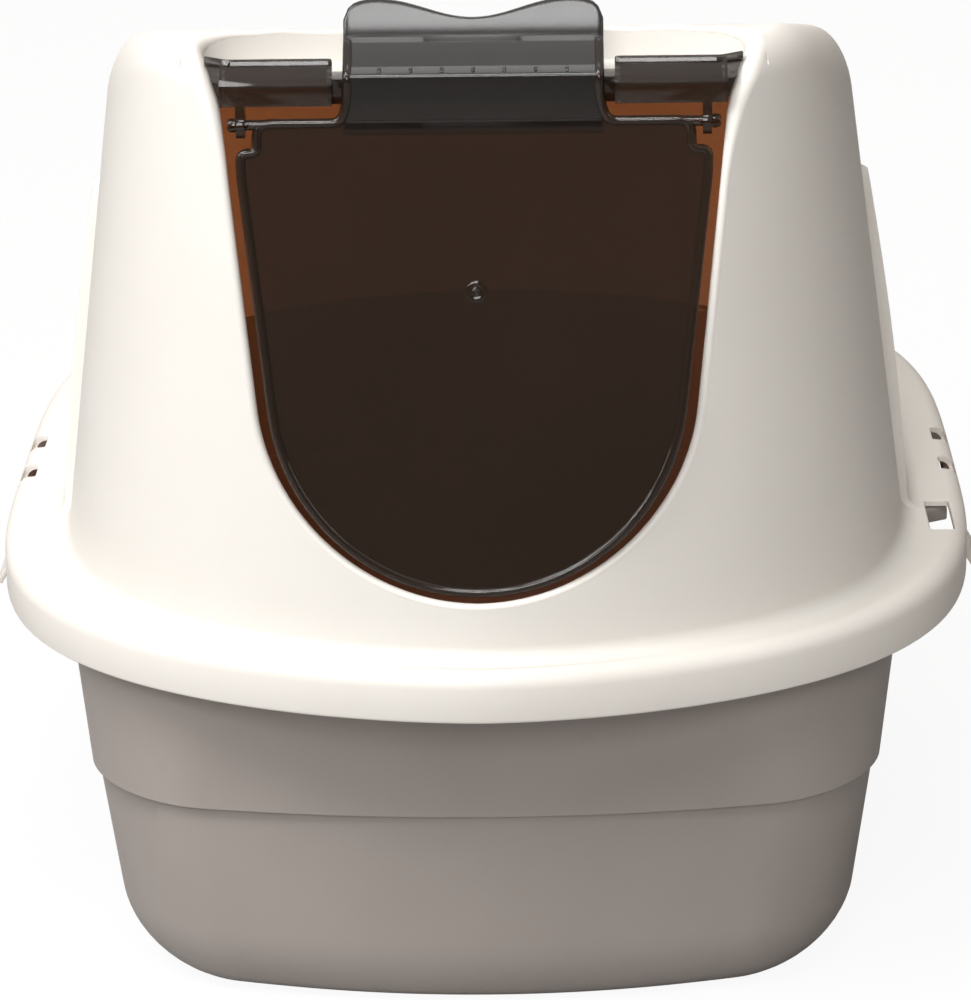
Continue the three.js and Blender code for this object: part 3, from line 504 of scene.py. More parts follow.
def raise_panel(ring):
    """Pushes the flanks out where the panel lies, with a round step at its edge."""
    x, y, z = ring.T
    corner = panel["corner"]
    top = panel_top(y)
    middle = (panel["front"] + panel["rear"]) / 2
    past_end = np.abs(y - middle) - (panel["rear"] - panel["front"]) / 2 + corner
    past_top = z - top + corner
    outside = np.hypot(np.maximum(past_end, 0), np.maximum(past_top, 0))
    distance = outside + np.minimum(np.maximum(past_end, past_top), 0) - corner
    step = 1 - smoothstep(-panel["edge"], panel["edge"], distance)
    climb = np.clip((z - plate_top) / (top - plate_top), 0, 1)
    out = (panel["proud"] + panel_bulge * np.sin(math.pi * climb)) * step
    past_groove = (distance - panel["edge"]) / panel["groove_half"]
    fade = np.clip(climb * panel["groove_fade"], 0, 1)
    out = out - panel["groove"] * np.maximum(0, 1 - past_groove ** 2) * fade
    return np.column_stack([x + np.sign(x) * out, y, z])


def between(share):
    """Heights that share out the wall between the foot's fillet and the panel's top."""
    low = plate_top + foot_fillet
    return lambda y: low + (panel_top(y) - panel_close - low) * share


wall_heights = [between(share) for share in np.linspace(0, 1, 12)]
close_end = panel["margin"] + 1
crown_foot = panel["below_roof"] - roof_drop["flank"] - panel["margin"]
wall_heights += [(lambda y, up=up: panel_top(y) + up) for up in (
    *np.arange(1 - panel_close, close_end), *np.linspace(close_end, crown_foot, 8)[1:])]


def flange_ring(inset, z):
    return level(super_ring(
        flange_half_width - inset, flange_half_length - inset, flange_power,
    ), z)


def crown_rings(grow, steps):
    """The rounding from the walls to the roof, and the roof as rings closing to its middle."""
    rings = []
    for inset, low in quarter(steps):
        ring = hood_ring(lambda y: roof_height(y) - crown_drop(y) * low, roof_round * inset, grow)
        rings.append(ring + (0, 0, grow))
    edge = rings[-1]
    middle = edge[:, 1].mean()
    for share in (0.97, 0.92, 0.85, 0.75, 0.62, 0.48, 0.34, 0.2, 0.08):
        y = middle + (edge[:, 1] - middle) * share
        rings.append(np.column_stack([edge[:, 0] * share, y, roof_height(y) + grow]))
    return rings


hood_rings = []
for turn in np.linspace(math.pi, 0, 7):
    inset = wall / 2 * (1 - math.cos(turn))
    hood_rings.append(flange_ring(inset, skirt_bottom + skirt_round * (1 - math.sin(turn))))
for inset, low in quarter(9):
    hood_rings.append(flange_ring(flange_round * inset, plate_top - flange_round * low))
flange_edge = hood_rings[-1]
fillet_foot = raise_panel(hood_ring(lambda y: np.full(len(y), plate_top + hair), -foot_fillet, 0))
for share in (0.4, 0.8):
    hood_rings.append(flange_edge + (fillet_foot - flange_edge) * share)
for rise, out in quarter(9)[:-1]:
    z = plate_top + foot_fillet * rise
    hood_rings.append(raise_panel(hood_ring(lambda y: np.full(len(y), z), -foot_fillet * out, 0)))
hood_rings += [raise_panel(hood_ring(heights, 0, 0)) for heights in wall_heights]
hood_rings += crown_rings(0, 12)

inner_rings = [flange_ring(wall, skirt_bottom + skirt_round)]
round_in = flange_round - wall
for inset, low in quarter(5):
    inner_rings.append(flange_ring(wall + round_in * inset, plate_top - wall - round_in * low))
inner_foot = raise_panel(hood_ring(lambda y: np.full(len(y), plate_top - wall), 0, -wall))
inner_edge = inner_rings[-1]
inner_rings.append(inner_edge + (inner_foot - inner_edge) * 0.6)
inner_rings.append(inner_foot)
inner_rings += [raise_panel(hood_ring(heights, 0, -wall)) for heights in wall_heights]
inner_rings += crown_rings(-wall, 9)
hood_rings = inner_rings[:0:-1] + hood_rings

cream = grained_plastic(
    "cream_plastic", srgb(238, 235, 228), srgb(231, 227, 219), 0.4,
    {"colour": srgb(215, 150, 100), "share": 0.16},
)
hood_corners, hood_faces = loft(hood_rings)
hood = shape("hood_shell", hood_corners, hood_faces)


# Openings in the hood
# The entrance, the niche behind the finger grip, the filter pocket and the slots for the latches
# and the scoop are all moulded in. Tools with the shapes of the mould's cores cut them here.
overrun = 20
entrance_sill = 184
bowl_half_width = 84
bowl_height = 78
entrance_taper = 0.1
horn_flare = 9
flare_height = 26
niche_floor = 376
niche_ledge_front = -205
niche_front = -206
niche_back = -174
niche_half_width = 106.2
niche_corner = {"x": 90, "y": 26}
edge_radius = {"bowl": 2.0, "horn": 5.0, "niche": 1.6, "from": 342, "to": 386}
niche_fillet = 1.0
niche_meet = 16
ledge_hole = {"place": 99, "radius": 2.2, "back": 9}
hinge_place = {"y": -222, "z": 363.8}
bar_tail_end = 24
bar_peg = {"place": 72, "radius": 2.4, "clearance": 0.25}
flange_window = {"middle": 197.8, "width": 6.5, "length": 17, "spacing": 40}
latch_half_length = 22
latch_pin = {"x": 200.2, "z": 151, "radius": 1.6, "clearance": 0.35}
lug = {"thickness": 2.6, "radius": 3.6, "gap": 0.5, "skin_gap": 0.05}
notch_rise = 13.5
pocket_place = 55
pocket_width = 124
pocket_length = 96
pocket_depth = 10
pocket_corner = 0.6
pocket_mouth = 0.2
cover_sink = 0.4
cover_gap = 0.8
cover_barrel = 2.3
cover_pin = {"radius": 1.4, "clearance": 0.35}
vent = {"width": 4.5, "length": 62, "corner": 2.2, "pitch": 10, "count": 9}
edge_round = 0.8
slot_corner = 1.6


def prism(outline, axis, low, high):
    """A solid pushed along an axis from a flat outline in the other two."""
    outline = np.asarray(outline, dtype=float)
    count = len(outline)
    corners = np.vstack([np.insert(outline, axis, place, axis=1) for place in (low, high)])
    faces = [(i, (i + 1) % count, count + (i + 1) % count, count + i) for i in range(count)]
    faces += [tuple(range(count)), tuple(range(2 * count - 1, count - 1, -1))]
    return corners, faces


def rounded_box(half_x, half_y, corner):
    """A rectangle about the origin with round corners."""
    points = []
    for number, (sign_x, sign_y) in enumerate(((1, 1), (-1, 1), (-1, -1), (1, -1))):
        for angle in np.linspace(number * math.pi / 2, (number + 1) * math.pi / 2, 5):
            points.append((
                sign_x * (half_x - corner) + corner * math.cos(angle),
                sign_y * (half_y - corner) + corner * math.sin(angle),
            ))
    return np.array(points)


def core(name, corners, faces, pose=None):
    """A tool that cuts or joins, kept out of the picture."""
    made = shape(name, corners, faces, pose=pose)
    made.hide_render = True
    return made


def apply_tools(piece, tools, operation):
    for tool in tools:
        step = piece.modifiers.new("tool", "BOOLEAN")
        step.object = tool
        step.operation = operation
        step.solver = "MANIFOLD"
        settled = bpy.data.meshes.new_from_object(
            piece.evaluated_get(bpy.context.evaluated_depsgraph_get()))
        piece.modifiers.clear()
        piece.data = settled
    for tool in tools:
        bpy.data.objects.remove(tool)


def entrance_half(gap_side, gap_sill, taper, top, flare):
    """Half widths and heights of the entrance from the middle of its sill to its top."""
    half = bowl_half_width - gap_side
    sill = entrance_sill + gap_sill
    last = math.pi / 2 - math.atan(taper * bowl_height / half)
    angle = np.linspace(0, last, 40)
    x = half * np.sin(angle)
    z = sill + bowl_height * (1 - np.cos(angle))
    climb = np.linspace(z[-1], top, 30)[1:]
    flared = np.clip((climb - top + flare_height) / flare_height, 0, 1) ** 2
    straight = x[-1] + taper * (climb - z[-1]) + (horn_flare * flared if flare else 0)
    return np.concatenate([x, straight]), np.concatenate([z, climb])


def both_sides(x, z):
    keep = x > 0
    left = np.stack([-x[keep], z[keep]], axis=1)[::-1]
    return np.vstack([left, np.stack([x, z], axis=1)])


def niche_plan(grow, front):
    """The niche seen from above, with a back wall that bows forward to its sides."""
    turn = np.linspace(0, math.pi / 2, 14)
    reach, depth = niche_corner["x"], niche_corner["y"]
    away = np.column_stack([depth * np.cos(turn), reach * np.sin(turn)])
    away /= np.linalg.norm(away, axis=1)[:, None]
    x = niche_half_width - reach + reach * np.cos(turn) + grow * away[:, 0]
    y = niche_back - depth + depth * np.sin(turn) + grow * away[:, 1]
    right = np.column_stack([x, y])
    left = np.column_stack([-x[::-1], y[::-1]])
    return np.vstack([[(x[0], front)], right, left, [(-x[0], front)]])


pocket_fall = roof_slope + (pocket_place - roof_crest_place) / roof_radius
pocket_pose = Matrix.Translation(
    Vector((0, pocket_place, float(roof_height(pocket_place)))) * MM
) @ Matrix.Rotation(-math.atan(pocket_fall), 4, "X")


def box_prism(low, high):
    (x0, y0, z0), (x1, y1, z1) = low, high
    return prism([(x0, y0), (x1, y0), (x1, y1), (x0, y1)], 2, z0, z1)


def rod(radius, axis, low, high, place):
    turn = np.linspace(0, 2 * math.pi, 32, endpoint=False)
    outline = np.stack([place[0] + radius * np.cos(turn), place[1] + radius * np.sin(turn)], axis=1)
    return prism(outline, axis, low, high)


def slot_core(name, x, y, width, length):
    """A slot straight down through the flange, with its upper edge rounded."""
    half = np.array((width, length)) / 2
    rings = [level(rounded_box(*half, slot_corner) + (x, y), plate_top - 2 * wall)]
    for share, low in quarter(5):
        out = edge_round * share
        ring = rounded_box(*(half + out), slot_corner + out) + (x, y)
        rings.append(level(ring, plate_top - edge_round * low + hair))
    rings.append(level(rings[-1][:, :2], plate_top + wall))
    return core(name, *loft(rings))


roof_top = roof_crest + overrun
envelope_rings = [hood_ring(heights, 0, -wall / 2) for heights in wall_heights[6:]]
envelope_rings += crown_rings(-2 * hair, 12)


def envelope():
    return core("envelope", *loft(envelope_rings))


added = []
niche_shell = core("niche_shell", *prism(
    niche_plan(2 * wall, -flange_half_length), 2, niche_floor - wall, roof_top))
apply_tools(niche_shell, [envelope()], "INTERSECT")
pocket_shell = core("pocket_shell", *box_prism(
    (-pocket_width / 2 - wall, -pocket_length / 2 - wall, -pocket_depth - wall),
    (pocket_width / 2 + wall, pocket_length / 2 + wall, overrun)), pose=pocket_pose)
apply_tools(pocket_shell, [envelope()], "INTERSECT")
lug_inner = latch_half_length + lug["gap"]
lug_outer = lug_inner + lug["thickness"]
for side in (-1, 1):
    for end in (-1, 1):
        x = side * latch_pin["x"]
        span = sorted(latch_middle + end * place for place in (lug_inner, lug_outer))
        turn = np.linspace(math.pi, 2 * math.pi, 16)
        reach = flange_half_width - lug["skin_gap"] - latch_pin["x"]
        outline = [(min(lug["radius"] * math.cos(a), reach) * side + x,
                    latch_pin["z"] + lug["radius"] * math.sin(a)) for a in turn]
        outline += [(reach * side + x, plate_top - flange_round),
                    (x - side * lug["radius"], plate_top - wall / 2)]
        added.append(core("lug", *prism(outline, 1, *span)))
apply_tools(hood, [niche_shell, pocket_shell, *added], "UNION")

# The rolled edge is a round that touches the skin, so its path is found first: each row of it holds
# the place of the round's middle and its radius. The tools cut the skin just where it touches.
lip_proud = 0.05
sight_from = -400
horn_turn_height = 372
horn_pivot = {"y": -201, "z": 374, "sight": 60}
outer_skin = BVHTree.FromPolygons([tuple(p) for p in hood_corners], hood_faces)


def under_skin(origin, way, radius):
    """The middle of a round that touches the skin where a ray meets it, and that point."""
    hit, normal, _, _ = outer_skin.ray_cast(Vector(origin), Vector(way))
    inwards = normal if normal.dot(Vector(way)) > 0 else -normal
    return np.array(hit + inwards * (radius - lip_proud)), np.array(hit)


half_x, half_z = entrance_half(0, 0, entrance_taper, roof_crest, True)
edge_round_at = edge_radius["bowl"] + (edge_radius["horn"] - edge_radius["bowl"]) * smoothstep(
    edge_radius["from"], edge_radius["to"], half_z)
along_x, along_z = np.gradient(half_x), np.gradient(half_z)
stride = np.hypot(along_x, along_z)
middle_x = half_x + along_z / stride * edge_round_at
middle_z = half_z - along_x / stride * edge_round_at
middle_x[0] = 0
lip_half, lip_touch = [], []
for x, z, radius in zip(middle_x, middle_z, edge_round_at):
    if z > horn_turn_height:
        break
    aim = np.array((x, z))
    for _ in range(6):
        centre, touch = under_skin((aim[0], sight_from, aim[1]), (0, 1, 0), radius)
        aim = aim + (x - centre[0], z - centre[2])
    lip_half.append((*centre, radius))
    lip_touch.append(touch)
for angle in np.linspace(0, math.pi / 2, 18)[1:]:
    way = np.array((0, math.cos(angle), -math.sin(angle)))
    x, height = middle_x[-1], horn_turn_height
    for _ in range(14):
        radius = np.interp(height, middle_z, edge_round_at)
        origin = (x, horn_pivot["y"], horn_pivot["z"]) - way * horn_pivot["sight"]
        centre, touch = under_skin(origin, way, radius)
        height = centre[2]
        x += (np.interp(height, middle_z, middle_x) - centre[0]) * 0.8
    lip_half.append((*centre, radius))
    if touch[2] > lip_touch[-1][2] + lip_proud:
        lip_touch.append(touch)
lip_touch = np.array(lip_touch)
entrance_outline = both_sides(
    np.append(lip_touch[:, 0], lip_touch[-1, 0]), np.append(lip_touch[:, 2], roof_top))
cores = [core("entrance_core", *prism(
    entrance_outline, 1, -flange_half_length - overrun, niche_ledge_front))]

niche_wall = niche_plan(0, niche_front)
niche_out = niche_plan(1, niche_front) - niche_wall
horn_inner = lip_half[-1][0] - lip_half[-1][3]
beside = smoothstep(horn_pivot["y"], horn_pivot["y"] + niche_meet, niche_wall[:, 1])
niche_wall[:, 0] += np.sign(niche_wall[:, 0]) * (horn_inner - niche_half_width) * (1 - beside)
niche_radius = lip_half[-1][3] + (edge_radius["niche"] - lip_half[-1][3]) * beside
niche_middle, niche_touch = [], []
for place, radius in zip(niche_wall + niche_out * niche_radius[:, None], niche_radius):
    aim = place
    for _ in range(6):
        centre, touch = under_skin((*aim, roof_top), (0, 0, -1), radius)
        aim = aim + (place - centre[:2])
    niche_middle.append(centre)
    niche_touch.append(touch)
niche_middle, niche_touch = np.array(niche_middle), np.array(niche_touch)
lip_half += [(*centre, size) for centre, size in zip(niche_middle[2:15], niche_radius[2:15])]
lip_half.append((0, *lip_half[-1][1:]))
niche_levels = []
for rise, inset in quarter(5):
    niche_levels.append(level(
        niche_wall - niche_out * niche_fillet * inset, niche_floor + niche_fillet * rise))
for turn in np.linspace(0, math.pi / 2, 7):
    roll = niche_out * niche_radius[:, None] * (1 - math.cos(turn))
    rise = (niche_touch - niche_middle) * math.sin(turn)
    niche_levels.append(level(
        niche_wall + roll + rise[:, :2], niche_middle[:, 2] + rise[:, 2] + 2 * hair))
niche_levels.append(level(niche_touch[:, :2], roof_top))
cores.append(core("niche_core", *loft(niche_levels)))

pocket_outline = rounded_box(pocket_width / 2, pocket_length / 2, pocket_corner)
pocket_rings = [level(pocket_outline, z) for z in (-pocket_depth, pocket_mouth, overrun)]
cores.append(core("pocket_core", *loft(pocket_rings), pose=pocket_pose))
for i in range(vent["count"]):
    x = (i - (vent["count"] - 1) / 2) * vent["pitch"]
    outline = rounded_box(vent["width"] / 2, vent["length"] / 2, vent["corner"]) + (x, 0)
    cores.append(core("vent_core", *prism(
        outline, 2, -pocket_depth - overrun, -pocket_depth + wall), pose=pocket_pose))
cover_hinge = {
    "y": -pocket_length / 2 + cover_barrel + cover_gap,
    "z": -cover_sink - cover_barrel,
}
cores.append(core("cover_pin_core", *rod(
    cover_pin["radius"] + cover_pin["clearance"], 0,
    -pocket_width / 2 - wall * 2, pocket_width / 2 + wall * 2,
    (cover_hinge["y"], cover_hinge["z"])), pose=pocket_pose))

peg_place = (niche_ledge_front + hinge_place["y"] + bar_tail_end) / 2
ledge_span = (niche_floor - 2 * wall, niche_floor + wall)
cores.append(slot_core("scoop_core", scoop_slot["middle"], scoop_slot["place"],
                       scoop_slot["width"], scoop_slot["length"]))
for side in (-1, 1):
    hole_place = (side * ledge_hole["place"], niche_ledge_front + ledge_hole["back"])
    cores.append(core("ledge_core", *rod(ledge_hole["radius"], 2, *ledge_span, hole_place)))
    cores.append(core("peg_core", *rod(
        bar_peg["radius"] + bar_peg["clearance"], 2, *ledge_span,
        (side * bar_peg["place"], peg_place))))
    for end in (-1, 1):
        cores.append(slot_core(
            "window_core", side * flange_window["middle"],
            latch_middle + end * flange_window["spacing"] / 2,
            flange_window["width"], flange_window["length"]))
    span = sorted(side * place for place in (
        latch_pin["x"] - lug["radius"], flange_half_width + overrun))
    cores.append(core("latch_core", *box_prism(
        (span[0], latch_middle - lug_inner, skirt_bottom - overrun),
        (span[1], latch_middle + lug_inner, skirt_bottom + notch_rise))))
    cores.append(core("latch_pin_core", *rod(
        latch_pin["radius"] + latch_pin["clearance"], 1,
        latch_middle - lug_outer - wall, latch_middle + lug_outer + wall,
        (side * latch_pin["x"], latch_pin["z"]))))
apply_tools(hood, cores, "DIFFERENCE")
soften(hood, 35)
dress(hood, cream, "hood", "cream_plastic", "hood")


# Rolled edge of the entrance and the niche
# The hood's edge is rolled over into a smooth round, part of the same moulding. It runs round the
# U of the entrance, over both horns and round the back of the niche, on the path found above.
lip_pitch = 2


def tube(path, radius, sides=16, closed=False):
    """A round bead along a path, with domed ends where it isn't closed."""
    path = np.asarray(path, dtype=float)
    count = len(path)
    if closed:
        along = np.roll(path, -1, axis=0) - np.roll(path, 1, axis=0)
    else:
        along = np.gradient(path, axis=0)
    along /= np.linalg.norm(along, axis=1)[:, None]
    across = np.cross(along[0], (0, 0, 1) if abs(along[0][2]) < 0.9 else (0, 1, 0))
    radii = np.broadcast_to(radius, count)
    turn = np.linspace(0, 2 * math.pi, sides, endpoint=False)
    circles = []
    for way in along:
        across = across - way * across.dot(way)
        across /= np.linalg.norm(across)
        upright = np.cross(way, across)
        circles.append(np.outer(np.cos(turn), across) + np.outer(np.sin(turn), upright))
    rings = [place + circle * size for place, circle, size in zip(path, circles, radii)]
    if not closed:
        for end, sign in ((0, -1), (-1, 1)):
            dome = [
                path[end] + sign * along[end] * radii[end] * math.sin(a)
                + circles[end] * radii[end] * max(math.cos(a), 0.02)
                for a in np.linspace(0, math.pi / 2, 6)[1:]
            ]
            rings = dome[::-1] + rings if sign < 0 else rings + dome
        return loft(rings)
    corners, faces = loft(rings, (False, False))
    last = (count - 1) * sides
    shift = int(np.argmin(np.linalg.norm(rings[0] - rings[-1][0], axis=1)))
    for i in range(sides):
        j = (i + 1) % sides
        faces.append((last + i, last + j, (j + shift) % sides, (i + shift) % sides))
    return corners, faces


def even_path(points, pitch):
    """The same path with its points evenly spaced; the columns after x, y and z go along."""
    points = np.asarray(points)
    steps = np.linalg.norm(np.diff(points, axis=0), axis=1)
    along = np.concatenate([[0], np.cumsum(steps)])
    places = np.linspace(0, along[-1], max(2, round(along[-1] / pitch) + 1))
    return np.column_stack([np.interp(places, along, values) for values in points.T])


lip_half = even_path(lip_half, lip_pitch)
for _ in range(2):
    lip_half[1:-1] = (lip_half[:-2] + 2 * lip_half[1:-1] + lip_half[2:]) / 4
lip_path = np.vstack([lip_half, (lip_half * (-1, 1, 1, 1))[-2:0:-1]])
hood_lip = shape("hood_lip", *tube(lip_path[:, :3], lip_path[:, 3], 24, closed=True))
dress(hood_lip, cream, "hood", "cream_plastic")


# Door
# One piece of smoky polystyrene: a clear flat panel inside a continuous round bead, a flap that
# reaches over the hinge bar and ends in a wavy finger grip, and two split pins to hang it by.
door_lean = math.radians(10.2)
door_thickness = 1.8
door_gap = {"side": 4, "sill": 2}
door_bead = 1.9
bead_pitch = 1.2
door_taper = 0.115
door_shoulder = {"half": 81.6, "height": 0.4, "round": 5}
door_hip = {"height": -10.6, "round": 2.2}
door_knee = 6
flap_half_width = 49
flap_thickness = 2.2
flap_root = {"behind": 1.3, "below": 1.2, "above": 1, "bead_from": 4.5, "bead_out": 3.5}
flap_bend_radii = (0.6, 4, 0.8, 0.5, 0.8)
flap_pitch = 1.6
flap_view = {
    "face": (0.4, 18), "facet": (3.9, 20.2), "band": (13, 27.4), "foot": (15.6, 28.6),
    "cove": (18.4, 34), "tip": (24.5, 42.6),
}
grip_dip = 6.4
grip_end_drop = 3.4
grip_hump = 0.75
grip_corner = 4
grip_corner_drop = 0.9
rib = {"pitch": 11.7, "count": 7, "width": 1.3, "depth": 0.6, "half_length": 1.4, "corner": 0.4,
       "sink": 0.3, "margin": 1.2, "close_pitch": 0.4}
pin = {"radius": 2, "root": 3, "reach": 92.6, "head": 2.7, "head_from": 89.5, "head_length": 0.8,
       "lead": 0.2, "nose": 1.2, "slot": 1.1, "slot_half_depth": 6}
gate_mark = {"x": 0.1, "drop": 63.5}

hinge_pose = Matrix.Translation(Vector((0, hinge_place["y"], hinge_place["z"])) * MM)


def soft_plastic(name, colour, alpha, roughness):
    """Smoky glossy plastic, with the faint ripple that a moulded sheet has."""
    finish = Finish(name)
    ripple = finish.noise(14, 2)
    streaks = finish.noise(90, 3, 0.6)
    relief = finish.bump(ripple, 0.0008, 0.15)
    deeper = (*(0.7 * part for part in colour[:3]), 1)
    shader = finish.node("ShaderNodeBsdfPrincipled", {}, {
        "Base Color": finish.tint(ripple, colour, deeper),
        "Roughness": roughness + streaks * 0.03,
        "IOR": 1.5,
        "Alpha": alpha,
        "Normal": relief,
    })
    return finish.close(shader)


smoke = soft_plastic("smoke_plastic", srgb(42, 31, 23), 0.76, 0.05)
thick_smoke = soft_plastic("thick_smoke_plastic", srgb(27, 23, 20), 0.9, 0.2)


def quadratic(first, middle, last, share):
    share = np.asarray(share)[:, None]
    return (1 - share) ** 2 * first + 2 * share * (1 - share) * middle + share ** 2 * last


def rounded_path(points, radii, steps=8):
    """A polyline in space whose corners are rounded, each by its own radius."""
    points = [np.array(p, dtype=float) for p in points]
    path = [points[0]]
    for before, here, after, radius in zip(points, points[1:], points[2:], radii):
        back, on = before - here, after - here
        back_length, on_length = np.linalg.norm(back), np.linalg.norm(on)
        back, on = back / back_length, on / on_length
        half = math.acos(np.clip(back.dot(on), -1, 1)) / 2
        reach = min(radius / math.tan(half), back_length * 0.49, on_length * 0.49)
        first, last = here + back * reach, here + on * reach
        path += list(quadratic(first, here, last, np.linspace(0, 1, steps)))
    return np.array([*path, points[-1]])


def leaned(points):
    """From the door's own plane, x across and z up it, to the frame of the hinge."""
    x, y, z = np.asarray(points, dtype=float).T
    return np.column_stack([
        x, y * math.cos(door_lean) + z * math.sin(door_lean),
        -y * math.sin(door_lean) + z * math.cos(door_lean),
    ])


knee_top = hinge_place["z"] + door_hip["height"] - door_knee
door_x, door_z = entrance_half(
    door_gap["side"] + door_bead, door_gap["sill"] + door_bead, door_taper, knee_top, False)
door_z = (door_z - hinge_place["z"]) / math.cos(door_lean)
hip_x = door_x[-1]
shoulder = door_shoulder["half"]
flap_edge = flap_half_width - door_bead / 2
corner_points = [
    (door_x[-2], 0, door_z[-2]),
    (hip_x, 0, door_hip["height"]),
    (shoulder, 0, door_hip["height"]),
    (shoulder, 0, door_shoulder["height"]),
    (flap_edge, 0, door_shoulder["height"]),
]
corner_radii = [door_hip["round"], door_hip["round"], door_shoulder["round"]]
upper = rounded_path(corner_points, corner_radii)
side_run = np.column_stack([door_x[:-2], np.zeros(len(door_x) - 2), door_z[:-2]])
panel_half = np.vstack([side_run, upper])
panel_outline = np.vstack([(panel_half * (-1, 1, 1))[:0:-1], panel_half])
panel_corners, panel_faces = prism(
    panel_outline[:, (0, 2)], 1, -door_thickness / 2, door_thickness / 2)
door_panel = shape("door_panel", leaned(panel_corners), panel_faces, pose=hinge_pose)
dress(door_panel, smoke, "door", "smoke_plastic", "door")

view = {key: np.array((0, *place), dtype=float) for key, place in flap_view.items()}
flush = (flap_thickness - door_thickness) / 2
flap_foot = leaned([
    (0, flush + flap_root["behind"], -flap_thickness - flap_root["below"]),
    (0, flush, -flap_thickness),
    (0, flush, door_shoulder["height"] + flap_root["above"]),
])
flap_bends = [*flap_foot, view["face"], view["facet"], view["band"], view["foot"]]
flap_run = rounded_path(flap_bends, flap_bend_radii, 5)
grip_turns = np.linspace(0, 1, 16)[1:]


grip_bend = view["cove"] * 2 - (view["foot"] + view["tip"]) / 2
grip_run = quadratic(view["foot"], grip_bend, view["tip"], np.linspace(0, 1, 60))
grip_steps = np.arange(len(grip_run))
rib_places = (np.arange(rib["count"]) - (rib["count"] - 1) / 2) * rib["pitch"]
flap_reach = flap_half_width - flap_thickness / 2
rib_stretches = [(x - rib["margin"], x + rib["margin"]) for x in rib_places]
flap_columns = side_places(flap_reach, flap_pitch, rib_stretches, rib["close_pitch"])


def grip_top(x):
    """Height of the finger wave: a dip between two humps, and round outer corners."""
    share = np.abs(x) / flap_half_width
    past = max(0, share - grip_hump) / (1 - grip_hump)
    dip = 0 if past else grip_dip * (1 + math.cos(math.pi * share / grip_hump)) / 2
    end = max(0, abs(x) - flap_reach + grip_corner) / grip_corner
    corner = grip_corner * (1 - math.sqrt(max(0, 1 - end * end)))
    edge = dip + grip_end_drop * past * past + corner * grip_corner_drop
    return view["tip"][2] - flap_thickness / 2 - edge


def sheet_normals(grid):
    normal = np.cross(np.gradient(grid, axis=1), np.gradient(grid, axis=0))
    return normal / np.linalg.norm(normal, axis=2)[:, :, None]


flap_grid = []
for x in flap_columns:
    places = grip_turns * np.interp(grip_top(x), grip_run[:, 2], grip_steps)
    grip = [np.interp(places, grip_steps, values) for values in grip_run.T]
    column = np.vstack([flap_run[:-1], np.column_stack(grip)])
    column[:, 0] = x
    flap_grid.append(column)
flap_grid = np.array(flap_grid).transpose(1, 0, 2)


def sheet_solid(grid, thickness):
    """A bent sheet of even thickness from a grid of points, with a half-round rim."""
    steps = 5
    normal = sheet_normals(grid)
    rows, columns = grid.shape[:2]
    half = thickness / 2
    number = np.arange(rows * columns).reshape(rows, columns)
    loop = np.concatenate([
        number[0, :-1], number[:-1, -1], number[-1, :0:-1], number[:0:-1, 0],
    ])
    flat = grid.reshape(-1, 3)
    flat_normal = normal.reshape(-1, 3)
    edge = flat[loop]
    edge_normal = flat_normal[loop]
    along = np.roll(edge, -1, axis=0) - np.roll(edge, 1, axis=0)
    out = np.cross(along, edge_normal)
    out /= np.linalg.norm(out, axis=1)[:, None]
    if out[0].dot(edge[0] - flat.mean(axis=0)) < 0:
        out = -out
    corners = [flat + flat_normal * half, flat - flat_normal * half]
    faces = []
    for side in (0, 1):
        base = side * rows * columns
        for r in range(rows - 1):
            for c in range(columns - 1):
                quad = (number[r, c], number[r, c + 1], number[r + 1, c + 1], number[r + 1, c])
                faces.append(tuple(base + q for q in (quad if side else quad[::-1])))
    loops = [loop]
    start = 2 * rows * columns
    for k in range(1, steps):
        angle = math.pi * k / steps
        corners.append(edge + edge_normal * half * math.cos(angle) + out * half * math.sin(angle))
        loops.append(start + (k - 1) * len(loop) + np.arange(len(loop)))
    loops.append(loop + rows * columns)
    for first, second in zip(loops, loops[1:]):
        for i in range(len(loop)):
            j = (i + 1) % len(loop)
            faces.append((first[i], first[j], second[j], second[i]))
    return np.vstack(corners), [tuple(int(v) for v in face) for face in faces]


flap = shape("door_flap", *sheet_solid(flap_grid, flap_thickness), sharp=40, pose=hinge_pose)
dress(flap, thick_smoke, "door", "smoke_plastic")

bead_flap = flap_run[2:-1] + (flap_half_width - door_bead, 0, 0)
bead_flap = bead_flap[bead_flap[:, 2] > flap_root["bead_from"]]
corner_low = leaned([(flap_half_width + flap_root["bead_out"], 0, door_shoulder["height"])])[0]
corner_mid = np.array((flap_half_width - door_bead, corner_low[1], corner_low[2]))
turn_in = quadratic(corner_low, corner_mid, bead_flap[0], np.linspace(0, 1, 9))
bead_half = np.vstack([leaned(panel_half)[:-1], turn_in, bead_flap[1:]])
bead_path = even_path(np.vstack([(bead_half * (-1, 1, 1))[:0:-1], bead_half]), bead_pitch)
bead_path[1:-1] = (bead_path[:-2] + 2 * bead_path[1:-1] + bead_path[2:]) / 4
door_rim = shape("door_bead", *tube(bead_path, door_bead), pose=hinge_pose)
dress(door_rim, smoke, "door", "smoke_plastic")

